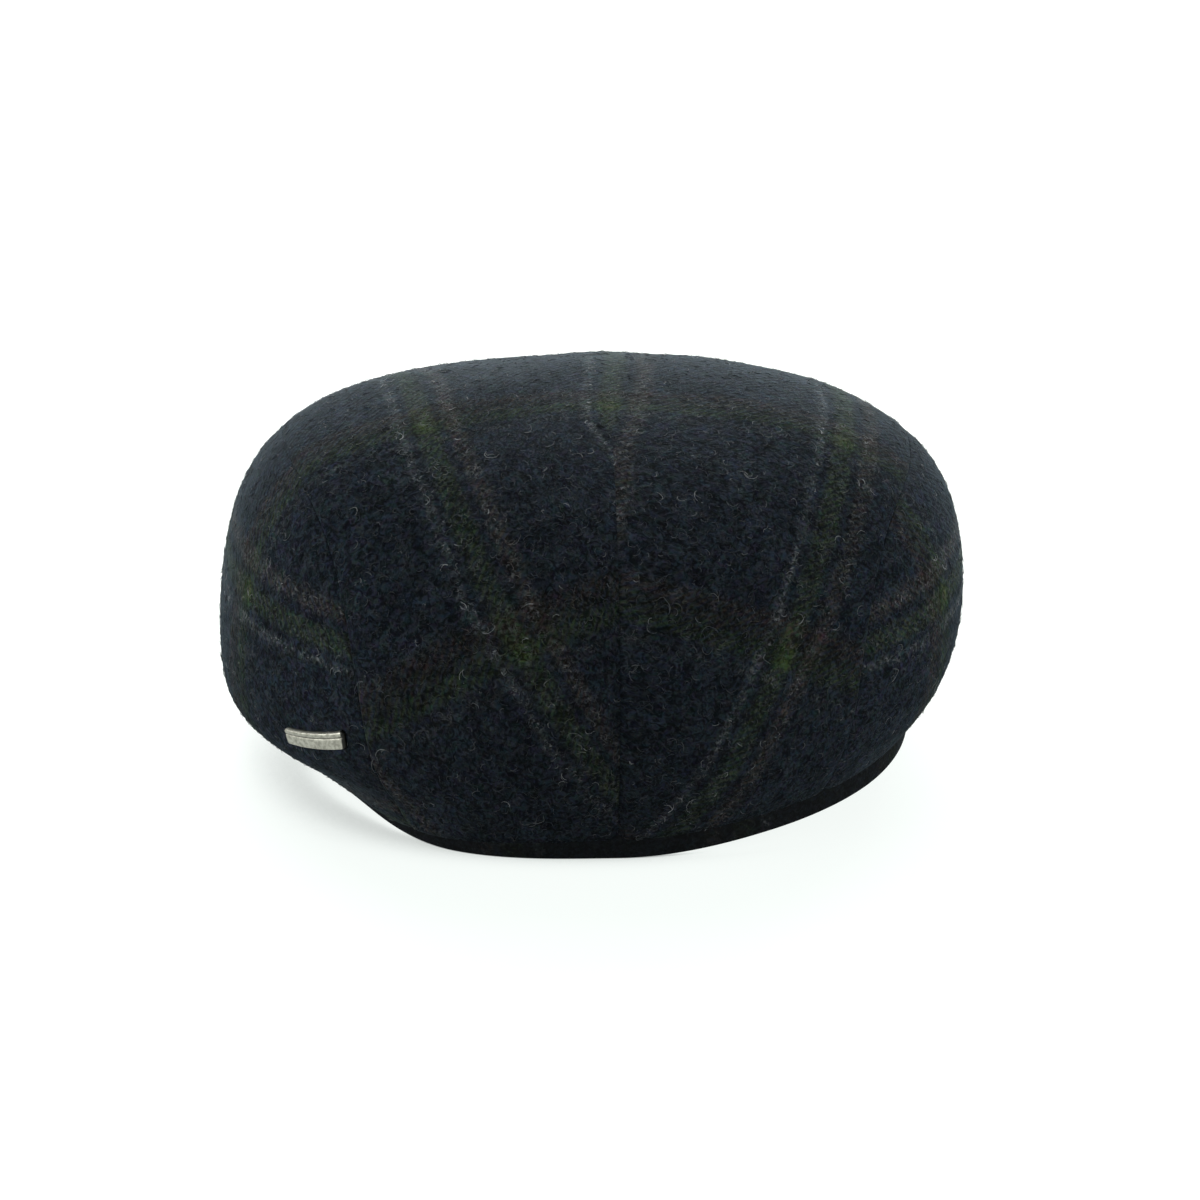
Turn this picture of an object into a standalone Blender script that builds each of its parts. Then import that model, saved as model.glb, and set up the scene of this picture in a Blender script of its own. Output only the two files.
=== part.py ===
"""A wool flat cap that stands on the back of its rim and on the corners of its peak.

The crown is a one-piece top, sewn to itself at the centre back, between two side panels.
A folded rim band runs round the head opening, and the front of the crown lies on the peak.

Angles run round the head opening: 0 is the centre back, 90 the wearer's left, 180 the front.
"""

import math

import bmesh
import bpy
import numpy as np

MM = 0.001

# Driving dimensions, in metres
CROWN_HEIGHT = 0.1215          # floor to the highest point
APEX_BEHIND_AXIS = -0.014      # the highest point lies this far along Y from the opening's axis
CLOTH_THICKNESS = 0.0022       # napped wool with its backing
RIM_HEIGHT = 0.0075            # folded band round the opening
RIM_THICKNESS = 0.0030
RIM_ROUNDING = 0.0006
PEAK_THICKNESS = 0.0045        # board covered with cloth on both faces
PEAK_BELOW_RIM_TOP = 0.0020    # the peak's top meets the rim band this far below its upper edge
PEAK_ROUNDING = 0.0009
PEAK_END_ANGLE = 105.0         # the peak's tips, either side of the front
PLATE_LENGTH = 0.0260          # bare metal plate on the left side panel
PLATE_WIDTH = 0.0064
PLATE_THICKNESS = 0.0011
PLATE_ROUNDING = 0.0003
PLATE_COLUMNS = 8
PLATE_ANGLE = 49.8             # its middle, round the opening and up the panel
PLATE_SHARE = 0.205
PLATE_RISE = 0.0015            # how much higher its back end is than its front end
SEAM_DIP = 0.0010              # how deep a sewn seam pulls the cloth in
DART_TOP = 0.66                # the centre-back seam ends here, as a share of the way up
DART_FADE = 0.15               # and flattens out over this share below its end
GAP = 0.0003                   # air between neighbouring pieces
SEAM_GAP = 0.0004              # and between two panels along their seam
AXIS_X = -0.0050               # the opening's axis, from the middle of the whole cap
AXIS_Y = 0.0290

# Where the meridian of the crown turns from the tuck over the rim into the dome
TUCK_SHARE = 0.26
HEM_RISE = 0.15                # how far up the tuck its first bend reaches

# Round the apex the sections melt into one shallow cap: its width and its two curvatures
APEX_BLEND = 0.055
APEX_CURVE_X = 0.8             # drop over distance squared, per metre
APEX_CURVE_Y = 2.6

# Steps for measuring which way the crown faces; all rays meet at the apex, so none is read there
NUDGE_ANGLE = 0.5
NUDGE_SHARE = 0.004
NEAR_APEX = 0.99

# How finely the cloth is divided: columns round the cap, and rows as shares from edge to edge
RIM_COLUMNS = 60
PEAK_COLUMNS = 50
PEAK_LEVELS = (1, 0.8, 0.4, 0)  # from the front edge to the rim band
BACK_COLUMNS = 28
SIDE_COLUMNS = 33
FRONT_COLUMNS = 26
TOP_LEVELS = (0, 0.045, 0.14, 0.26, 0.38, 0.50, 0.62, 0.74, 0.87, 1)
SIDE_LEVELS = (0, 0.14, 0.28, 0.43, 0.58, 0.73, 0.87, 0.955, 1)
SHARP_ANGLE = math.radians(50)  # edges sharper than this are cut edges: rounded, or shaded sharp

# One row for each section through the opening's axis; lengths in millimetres
#   rim_out    outer face of the rim band, from the axis
#   rim_up     lower edge of the rim band, from the floor
#   step       how far the crown's hem stands outside the rim band, in front over the peak
#   sink       how far that hem drops below the top of the rim band
#   lip        how much of the peak shows in front of the hem
#   bulge_out  widest point of the crown, from the axis
#   bulge_up   its height
#   tuck_full  how square the tuck over the rim is, 0 to 1
#   side_full  how square the wall is below the shoulder, 0 to 1
#   top_full   how flat the top is above the shoulder, 0 to 1
COLUMNS = ("angle", "rim_out", "rim_up", "step", "sink", "lip",
           "bulge_out", "bulge_up", "tuck_full", "side_full", "top_full")
SECTIONS = (
    (-150, 97, 17, 41, 17, 9, 142, 22, 0.45, 0.45, 0.42),
    (-120, 95, 14, 12, 8, 4, 117, 44, 0.50, 0.62, 0.62),
    (-105, 94, 14, 5, 0, 2, 111, 56, 0.50, 0.68, 0.69),
    (-90, 93, 13, 0, 0, 0, 109, 56, 0.50, 0.71, 0.73),
    (-60, 93, 9, 0, 0, 0, 108, 54, 0.50, 0.69, 0.69),
    (-30, 91, 4, 0, 0, 0, 103, 52, 0.45, 0.62, 0.62),
    (0, 90, 0, 0, 0, 0, 103, 50, 0.45, 0.60, 0.60),
    (30, 95, 0, 0, 0, 0, 109, 46, 0.50, 0.69, 0.62),
    (60, 90, 4, 0, 0, 0, 116, 42, 0.70, 0.92, 0.67),
    (90, 92, 7, 0, 0, 0, 118, 40, 0.80, 0.95, 0.69),
    (105, 94, 8, 9, 0, 2, 123, 34, 0.80, 0.86, 0.65),
    (120, 96, 9, 20, 8, 4, 130, 28, 0.70, 0.74, 0.58),
    (150, 97, 17, 42, 17, 9, 147, 22, 0.45, 0.45, 0.42),
    (180, 98, 20, 52, 12, 12, 154, 26, 0.45, 0.25, 0.50),
)

# The seam between the top and each side panel, from the hem at the back to the hem in front:
# the angle beside the centre back, and the share of the way from hem to apex. It climbs the
# back edge up to the row SEAM_CORNER and then runs forward along the shoulder.
SEAM_CORNER = 3
LEFT_SEAM = ((39, 0.00), (39.5, 0.12), (40.5, 0.24), (43, 0.34), (48, 0.43), (56, 0.50), (69, 0.55),
             (90, 0.57), (111, 0.50), (129, 0.33), (137, 0.17), (141, 0.00))
RIGHT_SEAM = ((41, 0.00), (41.5, 0.12), (42.2, 0.24), (44, 0.33), (48, 0.41), (56, 0.49), (69, 0.54),
              (90, 0.57), (111, 0.50), (129, 0.33), (137, 0.17), (141, 0.00))


def cubic_through(knots, values, places, around=None):
    """Smooth curve through the knots that never swings past them, repeating after 'around'."""
    knots = np.asarray(knots, float)
    values = np.asarray(values, float)
    places = np.asarray(places, float)
    if around:
        knots = np.concatenate([knots - around, knots, knots + around])
        values = np.tile(values, 3)
    steps = np.diff(knots)
    slopes = np.diff(values) / steps
    tangents = np.zeros_like(values)
    before, after = slopes[:-1], slopes[1:]
    same_way = before * after > 0
    tangents[1:-1][same_way] = 2 * (before * after)[same_way] / (before + after)[same_way]
    cell = np.clip(np.searchsorted(knots, places, side="right") - 1, 0, len(steps) - 1)
    width = steps[cell]
    t = (places - knots[cell]) / width
    return ((1 + 2 * t) * (1 - t) ** 2 * values[cell]
            + t * (1 - t) ** 2 * width * tangents[cell]
            + t * t * (3 - 2 * t) * values[cell + 1]
            + t * t * (t - 1) * width * tangents[cell + 1])


def section_values(angles):
    """The section table read at any angle, as a dictionary of arrays in metres."""
    table = np.array(SECTIONS, float)
    values = {}
    for column, name in enumerate(COLUMNS[1:], start=1):
        unit = 1.0 if name.endswith("full") else MM
        values[name] = unit * cubic_through(table[:, 0], table[:, column], angles, around=360)
    values["hem_out"] = values["rim_out"] + values["step"]
    values["hem_up"] = values["rim_up"] + RIM_HEIGHT + GAP - values["sink"]
    return values


def smooth_step(t):
    t = np.clip(t, 0, 1)
    return t * t * (3 - 2 * t)


def bezier(start, first, second, end, t):
    rest = 1 - t
    return rest ** 3 * start + 3 * rest * rest * t * first + 3 * rest * t * t * second + t ** 3 * end


def place(angles, out, up):
    """Points at a distance and a height on each angle's ray from the opening's axis."""
    turn = np.radians(angles)
    return np.stack([AXIS_X + out * np.sin(turn), AXIS_Y + out * np.cos(turn), up], axis=-1)


def crown_surface(angles, share):
    """Outer face of the crown: share runs from 0 at the hem to 1 at the highest point."""
    angles, share = np.broadcast_arrays(np.asarray(angles, float), np.asarray(share, float))
    v = section_values(angles)
    tuck = np.clip(share / TUCK_SHARE, 0, 1)
    dome = np.clip((share - TUCK_SHARE) / (1 - TUCK_SHARE), 0, 1)
    tuck_out = v["bulge_out"] - v["hem_out"]
    tuck_up = v["bulge_up"] - v["hem_up"]
    dome_up = CROWN_HEIGHT - v["bulge_up"]
    low_out = bezier(v["hem_out"], v["hem_out"] + v["tuck_full"] * tuck_out,
                     v["bulge_out"], v["bulge_out"], tuck)
    low_up = bezier(v["hem_up"], v["hem_up"] + HEM_RISE * tuck_up,
                    v["bulge_up"] - v["tuck_full"] * tuck_up, v["bulge_up"], tuck)
    high_out = bezier(v["bulge_out"], v["bulge_out"], v["top_full"] * v["bulge_out"], 0.0, dome)
    high_up = bezier(v["bulge_up"], v["bulge_up"] + v["side_full"] * dome_up,
                     CROWN_HEIGHT, CROWN_HEIGHT, dome)
    points = place(angles, np.where(dome > 0, high_out, low_out), np.where(dome > 0, high_up, low_up))
    points[..., 1] += APEX_BEHIND_AXIS * smooth_step(dome)
    from_apex = points[..., :2] - (AXIS_X, AXIS_Y + APEX_BEHIND_AXIS)
    cap_up = CROWN_HEIGHT - from_apex ** 2 @ (APEX_CURVE_X, APEX_CURVE_Y)
    near = smooth_step(1 - np.linalg.norm(from_apex, axis=-1) / APEX_BLEND)
    points[..., 2] += near * (cap_up - points[..., 2])
    return points


def crown_normal(angles, share):
    """Outward direction of the crown, from the way it changes along and across."""
    near_apex = np.minimum(share, NEAR_APEX)
    low = np.maximum(near_apex - NUDGE_SHARE, 0)
    along = crown_surface(angles, near_apex + NUDGE_SHARE) - crown_surface(angles, low)
    across = (crown_surface(angles + NUDGE_ANGLE, near_apex)
              - crown_surface(angles - NUDGE_ANGLE, near_apex))
    normal = np.cross(along, across)
    return normal / np.linalg.norm(normal, axis=-1, keepdims=True)


def crown_skin(angles, share, depth):
    """The crown's face, moved inwards by depth."""
    angles, share = np.broadcast_arrays(np.asarray(angles, float), np.asarray(share, float))
    normal = crown_normal(angles, share)
    normal[share > NEAR_APEX] = (0.0, 0.0, 1.0)
    return crown_surface(angles, share) - np.asarray(depth)[..., None] * normal


def seam_line(seam, side, whose_edge):
    """A side seam as points of the cloth's two faces, on the top's edge (1) or the panel's (-1).

    Returns angles, shares, outer points and inner points, from the hem at the back to the front.
    """
    rows = np.array(seam, float)
    knots = crown_surface(side * rows[:, 0], rows[:, 1])
    along = np.concatenate([[0], np.cumsum(np.linalg.norm(np.diff(knots, axis=0), axis=1))])
    corner, end = along[SEAM_CORNER], along[-1]
    places = np.concatenate([corner * np.array(SIDE_LEVELS),
                             np.linspace(corner, end, SIDE_COLUMNS + 1)[1:]])
    angles = side * cubic_through(along, rows[:, 0], places)
    share = cubic_through(along, rows[:, 1], places)
    normal = crown_normal(angles, share)
    across = np.cross(normal, np.gradient(crown_surface(angles, share), places, axis=0))
    across *= -side * whose_edge * 0.5 * SEAM_GAP / np.linalg.norm(across, axis=1, keepdims=True)
    outside = crown_skin(angles, share, SEAM_DIP) + across
    inside = crown_skin(angles, share, SEAM_DIP + CLOTH_THICKNESS) + across
    return angles, share, outside, inside


def add_object(name, mesh, material, collection):
    mesh.materials.append(material)
    mesh.shade_smooth()
    mesh.set_sharp_from_angle(angle=SHARP_ANGLE)
    piece = bpy.data.objects.new(name, mesh)
    collection.objects.link(piece)
    return piece


def add_wall(name, blocks, material, collection):
    """A closed wall from blocks of points: each an outer and an inner grid that match.

    Rows climb and columns run round the cap, so the outer faces point out. Points that meet
    are shared, and the edges that no second face uses get the cloth's cut edge.
    """
    outer, inner, found, faces = [], [], {}, []

    def vertex(point, behind):
        key = tuple(np.round(point, 6))
        if key not in found:
            found[key] = len(outer)
            outer.append(point)
            inner.append(behind)
        return found[key]

    for outside, inside in blocks:
        rows, columns = outside.shape[:2]
        grid = [[vertex(outside[i, j], inside[i, j]) for j in range(columns)] for i in range(rows)]
        for i in range(rows - 1):
            for j in range(columns - 1):
                corners = (grid[i][j], grid[i + 1][j], grid[i + 1][j + 1], grid[i][j + 1])
                face = list(dict.fromkeys(corners))
                if len(face) > 2:
                    faces.append(face)
    edges = {(a, b) for face in faces for a, b in zip(face, face[1:] + face[:1])}
    count = len(outer)
    lining = [[index + count for index in reversed(face)] for face in faces]
    cut_edge = [(b, a, a + count, b + count) for a, b in sorted(edges) if (b, a) not in edges]
    mesh = bpy.data.meshes.new(name)
    mesh.from_pydata(outer + inner, [], faces + lining + cut_edge)
    mesh.validate()
    return add_object(name, mesh, material, collection)


def add_crown_top(material, collection):
    """One-piece top: down to the hem at the back and the front, to the shoulders at the sides."""
    left_angles, left_share, *left_points = seam_line(LEFT_SEAM, 1, 1)
    right_angles, right_share, *right_points = seam_line(RIGHT_SEAM, -1, 1)
    skirt_rows = len(SIDE_LEVELS)
    corner = skirt_rows - 1
    half = BACK_COLUMNS // 2
    spread = np.linspace(1, 0, half + 1)

    back_angles = np.hstack([right_angles[:skirt_rows, None] * spread,
                             left_angles[:skirt_rows, None] * spread[::-1][1:]])
    back_share = (right_share[:skirt_rows, None]
                  + (left_share - right_share)[:skirt_rows, None] * np.linspace(0, 1, BACK_COLUMNS + 1))
    skirt = crown_block(back_angles, back_share)

    front = np.linspace(left_angles[-1], 360 + right_angles[-1], FRONT_COLUMNS + 1)[1:-1]
    edge_angles = np.concatenate([left_angles[corner:], front, 360 + right_angles[:corner - 1:-1],
                                  360 + back_angles[-1, 1:]])
    edge_share = np.concatenate([left_share[corner:], 0 * front, right_share[:corner - 1:-1],
                                 back_share[-1, 1:]])
    levels = np.array(TOP_LEVELS)[:, None]
    dome = crown_block(np.tile(edge_angles, (len(levels), 1)), edge_share + (1 - edge_share) * levels)

    sewn = SIDE_COLUMNS + 1
    right_start = sewn + len(front)
    for face, left, right in ((0, left_points[0], right_points[0]), (1, left_points[1], right_points[1])):
        skirt[face][:, -1] = left[:skirt_rows]
        skirt[face][:, 0] = right[:skirt_rows]
        dome[face][0, :sewn] = left[corner:]
        dome[face][0, right_start:right_start + sewn] = right[:corner - 1:-1]
        dome[face][0, -1] = left[corner]
    return add_wall("crown_top", (skirt, dome), material, collection)


def crown_block(angles, share):
    """Outer and inner points of a stretch of crown, drawn in along the centre-back seam."""
    on_seam = np.abs((angles + 180) % 360 - 180) < 0.01
    pull = SEAM_DIP * smooth_step((DART_TOP - share) / DART_FADE) * on_seam
    return crown_skin(angles, share, pull), crown_skin(angles, share, pull + CLOTH_THICKNESS)


def add_side_panel(name, seam, side, material, collection):
    """Side panel between the hem and its seam, from a corner at the back to a tip in front."""
    seam_angles, seam_share, *seam_points = seam_line(seam, side, -1)
    corner = len(SIDE_LEVELS) - 1
    hem_angles = np.linspace(seam_angles[0], seam_angles[-1], SIDE_COLUMNS + 1)
    climb = seam_share[:corner + 1, None] / seam_share[corner]
    angles = hem_angles + (seam_angles[corner:] - hem_angles) * climb
    share = seam_share[corner:] * climb
    panel = crown_block(angles, share)
    for face, points in zip(panel, seam_points):
        face[:, 0] = points[:corner + 1]
        face[-1] = points[corner:]
        face[:, -1] = points[-1]
    if side < 0:
        panel = tuple(face[:, ::-1] for face in panel)
    return add_wall(name, (panel,), material, collection)


def add_rim_band(material, collection):
    """Folded band round the opening: a small rounded section carried along the rim."""
    angles = np.linspace(0, 360, RIM_COLUMNS, endpoint=False)
    v = section_values(angles)
    c = RIM_ROUNDING
    profile = ((0, c), (0, RIM_HEIGHT - c), (-c, RIM_HEIGHT), (c - RIM_THICKNESS, RIM_HEIGHT),
               (-RIM_THICKNESS, RIM_HEIGHT - c), (-RIM_THICKNESS, c), (c - RIM_THICKNESS, 0), (-c, 0))
    rings = [place(angles, v["rim_out"] + out, v["rim_up"] + up) for out, up in profile]
    builder = bmesh.new()
    rows = [[builder.verts.new(point) for point in ring] for ring in rings]
    for lower, upper in zip(rows, rows[1:] + rows[:1]):
        for j in range(RIM_COLUMNS):
            after = (j + 1) % RIM_COLUMNS
            builder.faces.new((lower[j], upper[j], upper[after], lower[after]))
    mesh = bpy.data.meshes.new("rim_band")
    builder.to_mesh(mesh)
    builder.free()
    return add_object("rim_band", mesh, material, collection)


def peak_top(angles, across):
    """Top of the peak: from the rim band, under the crown's hem, to the front edge."""
    v = section_values(angles)
    inner_out = v["rim_out"] + GAP
    inner_up = v["rim_up"] + RIM_HEIGHT - PEAK_BELOW_RIM_TOP
    slope = (v["hem_up"] - GAP - inner_up) / (v["hem_out"] - inner_out)
    width = v["hem_out"] + v["lip"] - inner_out
    out = inner_out + across * width
    return place(angles, out, inner_up + slope * (out - inner_out))


def add_peak(material, collection):
    """Stiff crescent, low at its corners and arched in the middle."""
    angles = np.linspace(PEAK_END_ANGLE, 360 - PEAK_END_ANGLE, PEAK_COLUMNS + 1)
    top = np.array([peak_top(angles, across) for across in PEAK_LEVELS])
    bottom = top - np.array((0.0, 0.0, PEAK_THICKNESS))
    bottom[..., 2] = np.maximum(bottom[..., 2], 0.0)
    peak = add_wall("peak", ((top, bottom),), material, collection)
    round_edges(peak, PEAK_ROUNDING)
    return peak


def round_edges(piece, width):
    rounding = piece.modifiers.new("rounded edge", "BEVEL")
    rounding.width = width
    rounding.segments = 2
    rounding.limit_method = "ANGLE"
    rounding.angle_limit = SHARP_ANGLE


def add_name_plate(material, collection):
    """Plain metal plate, bent to the side panel that it is riveted to."""
    middle = crown_surface(PLATE_ANGLE, PLATE_SHARE)
    per_degree = np.linalg.norm(crown_surface(PLATE_ANGLE + 1, PLATE_SHARE) - middle)
    per_share = np.linalg.norm(crown_surface(PLATE_ANGLE, PLATE_SHARE + 0.01) - middle) / 0.01
    forward = np.linspace(-0.5, 0.5, PLATE_COLUMNS + 1)
    upward = np.linspace(-0.5, 0.5, 3)[:, None]
    share = PLATE_SHARE + (upward * PLATE_WIDTH - forward * PLATE_RISE) / per_share
    angles = np.broadcast_to(PLATE_ANGLE + forward * PLATE_LENGTH / per_degree, share.shape)
    normal = crown_normal(angles, share)
    back_face = crown_surface(angles, share) + GAP * normal
    front_face = back_face + PLATE_THICKNESS * normal
    plate = add_wall("name_plate", ((front_face, back_face),), material, collection)
    round_edges(plate, PLATE_ROUNDING)
    return plate


def add_material(name, colour, roughness, metallic=0.0):
    material = bpy.data.materials.new(name)
    material.use_nodes = True
    shader = material.node_tree.nodes["Principled BSDF"]
    shader.inputs["Base Color"].default_value = (*colour, 1.0)
    shader.inputs["Roughness"].default_value = roughness
    shader.inputs["Metallic"].default_value = metallic
    material.diffuse_color = (*colour, 1.0)
    return material


def clear_scene():
    for thing in list(bpy.data.objects):
        bpy.data.objects.remove(thing, do_unlink=True)


def main():
    clear_scene()
    collection = bpy.data.collections.new("flat_cap")
    bpy.context.scene.collection.children.link(collection)
    top_cloth = add_material("tartan wool, top", (0.012, 0.016, 0.021), 0.95)
    left_cloth = add_material("tartan wool, left side", (0.014, 0.018, 0.022), 0.95)
    right_cloth = add_material("tartan wool, right side", (0.014, 0.018, 0.023), 0.95)
    rim_cloth = add_material("dark wool rim", (0.006, 0.007, 0.009), 0.95)
    peak_cloth = add_material("tartan wool, peak", (0.011, 0.014, 0.018), 0.95)
    pewter = add_material("pewter plate", (0.31, 0.31, 0.27), 0.38, metallic=1.0)
    add_crown_top(top_cloth, collection)
    add_side_panel("side_panel_left", LEFT_SEAM, 1, left_cloth, collection)
    add_side_panel("side_panel_right", RIGHT_SEAM, -1, right_cloth, collection)
    add_rim_band(rim_cloth, collection)
    add_peak(peak_cloth, collection)
    add_name_plate(pewter, collection)


main()
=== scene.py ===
# %% [markdown]
# # A tartan wool flat cap
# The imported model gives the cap's pieces as plain solids: a one-piece top, two side panels, a rim
# band, a peak and a small metal plate. This notebook dresses them: each panel becomes a fine sheet of
# cloth that is flattened like a tailor's pattern, so that the tartan falls on it as it does on the real
# cap, and then gets its weave, its nap and its loose fibres.

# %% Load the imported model
import math

import bpy
import numpy as np
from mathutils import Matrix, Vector, noise


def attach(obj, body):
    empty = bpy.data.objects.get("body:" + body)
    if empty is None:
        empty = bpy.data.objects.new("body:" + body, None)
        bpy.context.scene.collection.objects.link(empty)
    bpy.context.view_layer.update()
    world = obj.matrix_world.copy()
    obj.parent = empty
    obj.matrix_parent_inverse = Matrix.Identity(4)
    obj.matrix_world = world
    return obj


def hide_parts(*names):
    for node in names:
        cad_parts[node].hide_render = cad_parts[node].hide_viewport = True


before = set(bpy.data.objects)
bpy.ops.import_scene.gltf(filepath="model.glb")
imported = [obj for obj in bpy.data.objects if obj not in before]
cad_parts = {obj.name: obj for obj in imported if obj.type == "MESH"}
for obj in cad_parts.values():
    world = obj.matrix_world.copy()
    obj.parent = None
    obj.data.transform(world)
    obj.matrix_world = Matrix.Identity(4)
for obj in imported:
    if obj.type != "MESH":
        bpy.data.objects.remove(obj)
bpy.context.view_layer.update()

MM = 0.001


def in_mm(values):
    """Metres as millimetres, for printing."""
    return [round(float(value) / MM, 1) for value in values]


# %% [markdown]
# ## The camera
# The photograph looks at the back of the cap from a little above. A long lens keeps the wide shape
# from bulging. Azimuth 0 would look along +Y, so 178 degrees looks at the back.

# %% Place the camera
CAMERA_AZIMUTH = math.radians(178)
CAMERA_ELEVATION = math.radians(17)
CAMERA_DISTANCE = 1.100
CAMERA_TARGET = Vector((-0.0032, 0.0210, 0.0480))
CAMERA_LENS = 106.9            # millimetres on a 36 mm sensor

towards_camera = Vector((math.sin(CAMERA_AZIMUTH) * math.cos(CAMERA_ELEVATION),
                         -math.cos(CAMERA_AZIMUTH) * math.cos(CAMERA_ELEVATION),
                         math.sin(CAMERA_ELEVATION)))
camera_data = bpy.data.cameras.new("camera")
camera_data.lens = CAMERA_LENS
camera_data.sensor_width = 36.0
camera = bpy.data.objects.new("camera", camera_data)
camera.location = CAMERA_TARGET + CAMERA_DISTANCE * towards_camera
camera.rotation_mode = "QUATERNION"
camera.rotation_quaternion = (-towards_camera).to_track_quat("-Z", "Y")
bpy.context.scene.collection.objects.link(camera)
bpy.context.scene.camera = camera
print("camera at", in_mm(camera.location), "mm")

# %% [markdown]
# ## The crown's shape
# The crown is read from sections through the axis of the head opening, one every 15 to 30 degrees.
# Angle 0 is the centre back, 90 the wearer's left, 180 the front. Each section is two Bezier curves:
# a tuck over the rim up to the widest point, and a dome from there to the apex. A smooth curve through
# the table gives every angle in between, and it is the same rule that shaped the solids. Sculpting
# could give the same shape, but a rule lets every seam, pattern piece and fibre find its place.

# %% Sizes of the crown, and its table of sections in millimetres
AXIS_X = -0.0050               # the axis of the head opening
AXIS_Y = 0.0290
CROWN_HEIGHT = 0.1215
APEX_BEHIND_AXIS = -0.014      # below zero, as the highest point lies in front of the axis
APEX_BLEND = 0.055             # within this distance of the highest point the dome turns into a bowl
APEX_CURVE_X = 0.8             # how fast the bowl falls away sideways, and forwards and back
APEX_CURVE_Y = 2.6
NEAR_APEX = 0.99               # above this share of the way up the cloth faces straight up
RIM_HEIGHT = 0.0075
GAP = 0.0003                   # between the rim band and the crown's hem
TUCK_SHARE = 0.26              # the widest point's share of the way up
HEM_RISE = 0.15                # how steeply a section leaves the hem

# The columns are the rim band's outer face and foot, how far the hem lies outside the band and below
# its top, how far the peak stands out past the hem, the widest point, and how full the curves are.
COLUMNS = ("angle", "rim_out", "rim_up", "step", "sink", "lip",
           "bulge_out", "bulge_up", "tuck_full", "side_full", "top_full")
SECTIONS = (
    (-150, 97, 17, 41, 17, 9, 142, 22, 0.45, 0.45, 0.42),
    (-120, 95, 14, 12, 8, 4, 117, 44, 0.50, 0.62, 0.62),
    (-105, 94, 14, 5, 0, 2, 111, 56, 0.50, 0.68, 0.69),
    (-90, 93, 13, 0, 0, 0, 109, 56, 0.50, 0.71, 0.73),
    (-60, 93, 9, 0, 0, 0, 108, 54, 0.50, 0.69, 0.69),
    (-30, 91, 4, 0, 0, 0, 103, 52, 0.45, 0.62, 0.62),
    (0, 90, 0, 0, 0, 0, 103, 50, 0.45, 0.60, 0.60),
    (30, 95, 0, 0, 0, 0, 109, 46, 0.50, 0.69, 0.62),
    (60, 90, 4, 0, 0, 0, 116, 42, 0.70, 0.92, 0.67),
    (90, 92, 7, 0, 0, 0, 118, 40, 0.80, 0.95, 0.69),
    (105, 94, 8, 9, 0, 2, 123, 34, 0.80, 0.86, 0.65),
    (120, 96, 9, 20, 8, 4, 130, 28, 0.70, 0.74, 0.58),
    (150, 97, 17, 42, 17, 9, 147, 22, 0.45, 0.45, 0.42),
    (180, 98, 20, 52, 12, 12, 154, 26, 0.45, 0.25, 0.50),
)

# %% Read the sections at any angle and share of the way up


def cubic_through(knots, values, places, around=None):
    """Smooth curve through the knots that never swings past them, repeating after 'around'."""
    knots = np.asarray(knots, float)
    values = np.asarray(values, float)
    places = np.asarray(places, float)
    if around:
        knots = np.concatenate([knots - around, knots, knots + around])
        values = np.tile(values, 3)
    steps = np.diff(knots)
    slopes = np.diff(values) / steps
    tangents = np.zeros_like(values)
    before, after = slopes[:-1], slopes[1:]
    same_way = before * after > 0
    tangents[1:-1][same_way] = 2 * (before * after)[same_way] / (before + after)[same_way]
    cell = np.clip(np.searchsorted(knots, places, side="right") - 1, 0, len(steps) - 1)
    width = steps[cell]
    t = (places - knots[cell]) / width
    return ((1 + 2 * t) * (1 - t) ** 2 * values[cell]
            + t * (1 - t) ** 2 * width * tangents[cell]
            + t * t * (3 - 2 * t) * values[cell + 1]
            + t * t * (t - 1) * width * tangents[cell + 1])


def section_values(angles):
    """The section table read at any angle, as a dictionary of arrays in metres."""
    table = np.array(SECTIONS, float)
    values = {}
    for column, name in enumerate(COLUMNS[1:], start=1):
        unit = 1.0 if name.endswith("full") else MM
        values[name] = unit * cubic_through(table[:, 0], table[:, column], angles, around=360)
    values["hem_out"] = values["rim_out"] + values["step"]
    values["hem_up"] = values["rim_up"] + RIM_HEIGHT + GAP - values["sink"]
    return values


print("at 45 degrees the rim is", in_mm([section_values(45.0)["rim_up"]]), "mm up")

# %% The crown's surface


def smooth_step(t):
    """Rises softly from 0 to 1."""
    t = np.clip(t, 0, 1)
    return t * t * (3 - 2 * t)


def bezier(start, first, second, end, t):
    """A Bezier curve's value at t, from its two ends and two handles."""
    rest = 1 - t
    return rest ** 3 * start + 3 * rest * rest * t * first + 3 * rest * t * t * second + t ** 3 * end


def place(angles, out, up):
    """Points at a distance and a height on each angle's ray from the opening's axis."""
    turn = np.radians(angles)
    return np.stack([AXIS_X + out * np.sin(turn), AXIS_Y + out * np.cos(turn), up], axis=-1)


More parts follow.
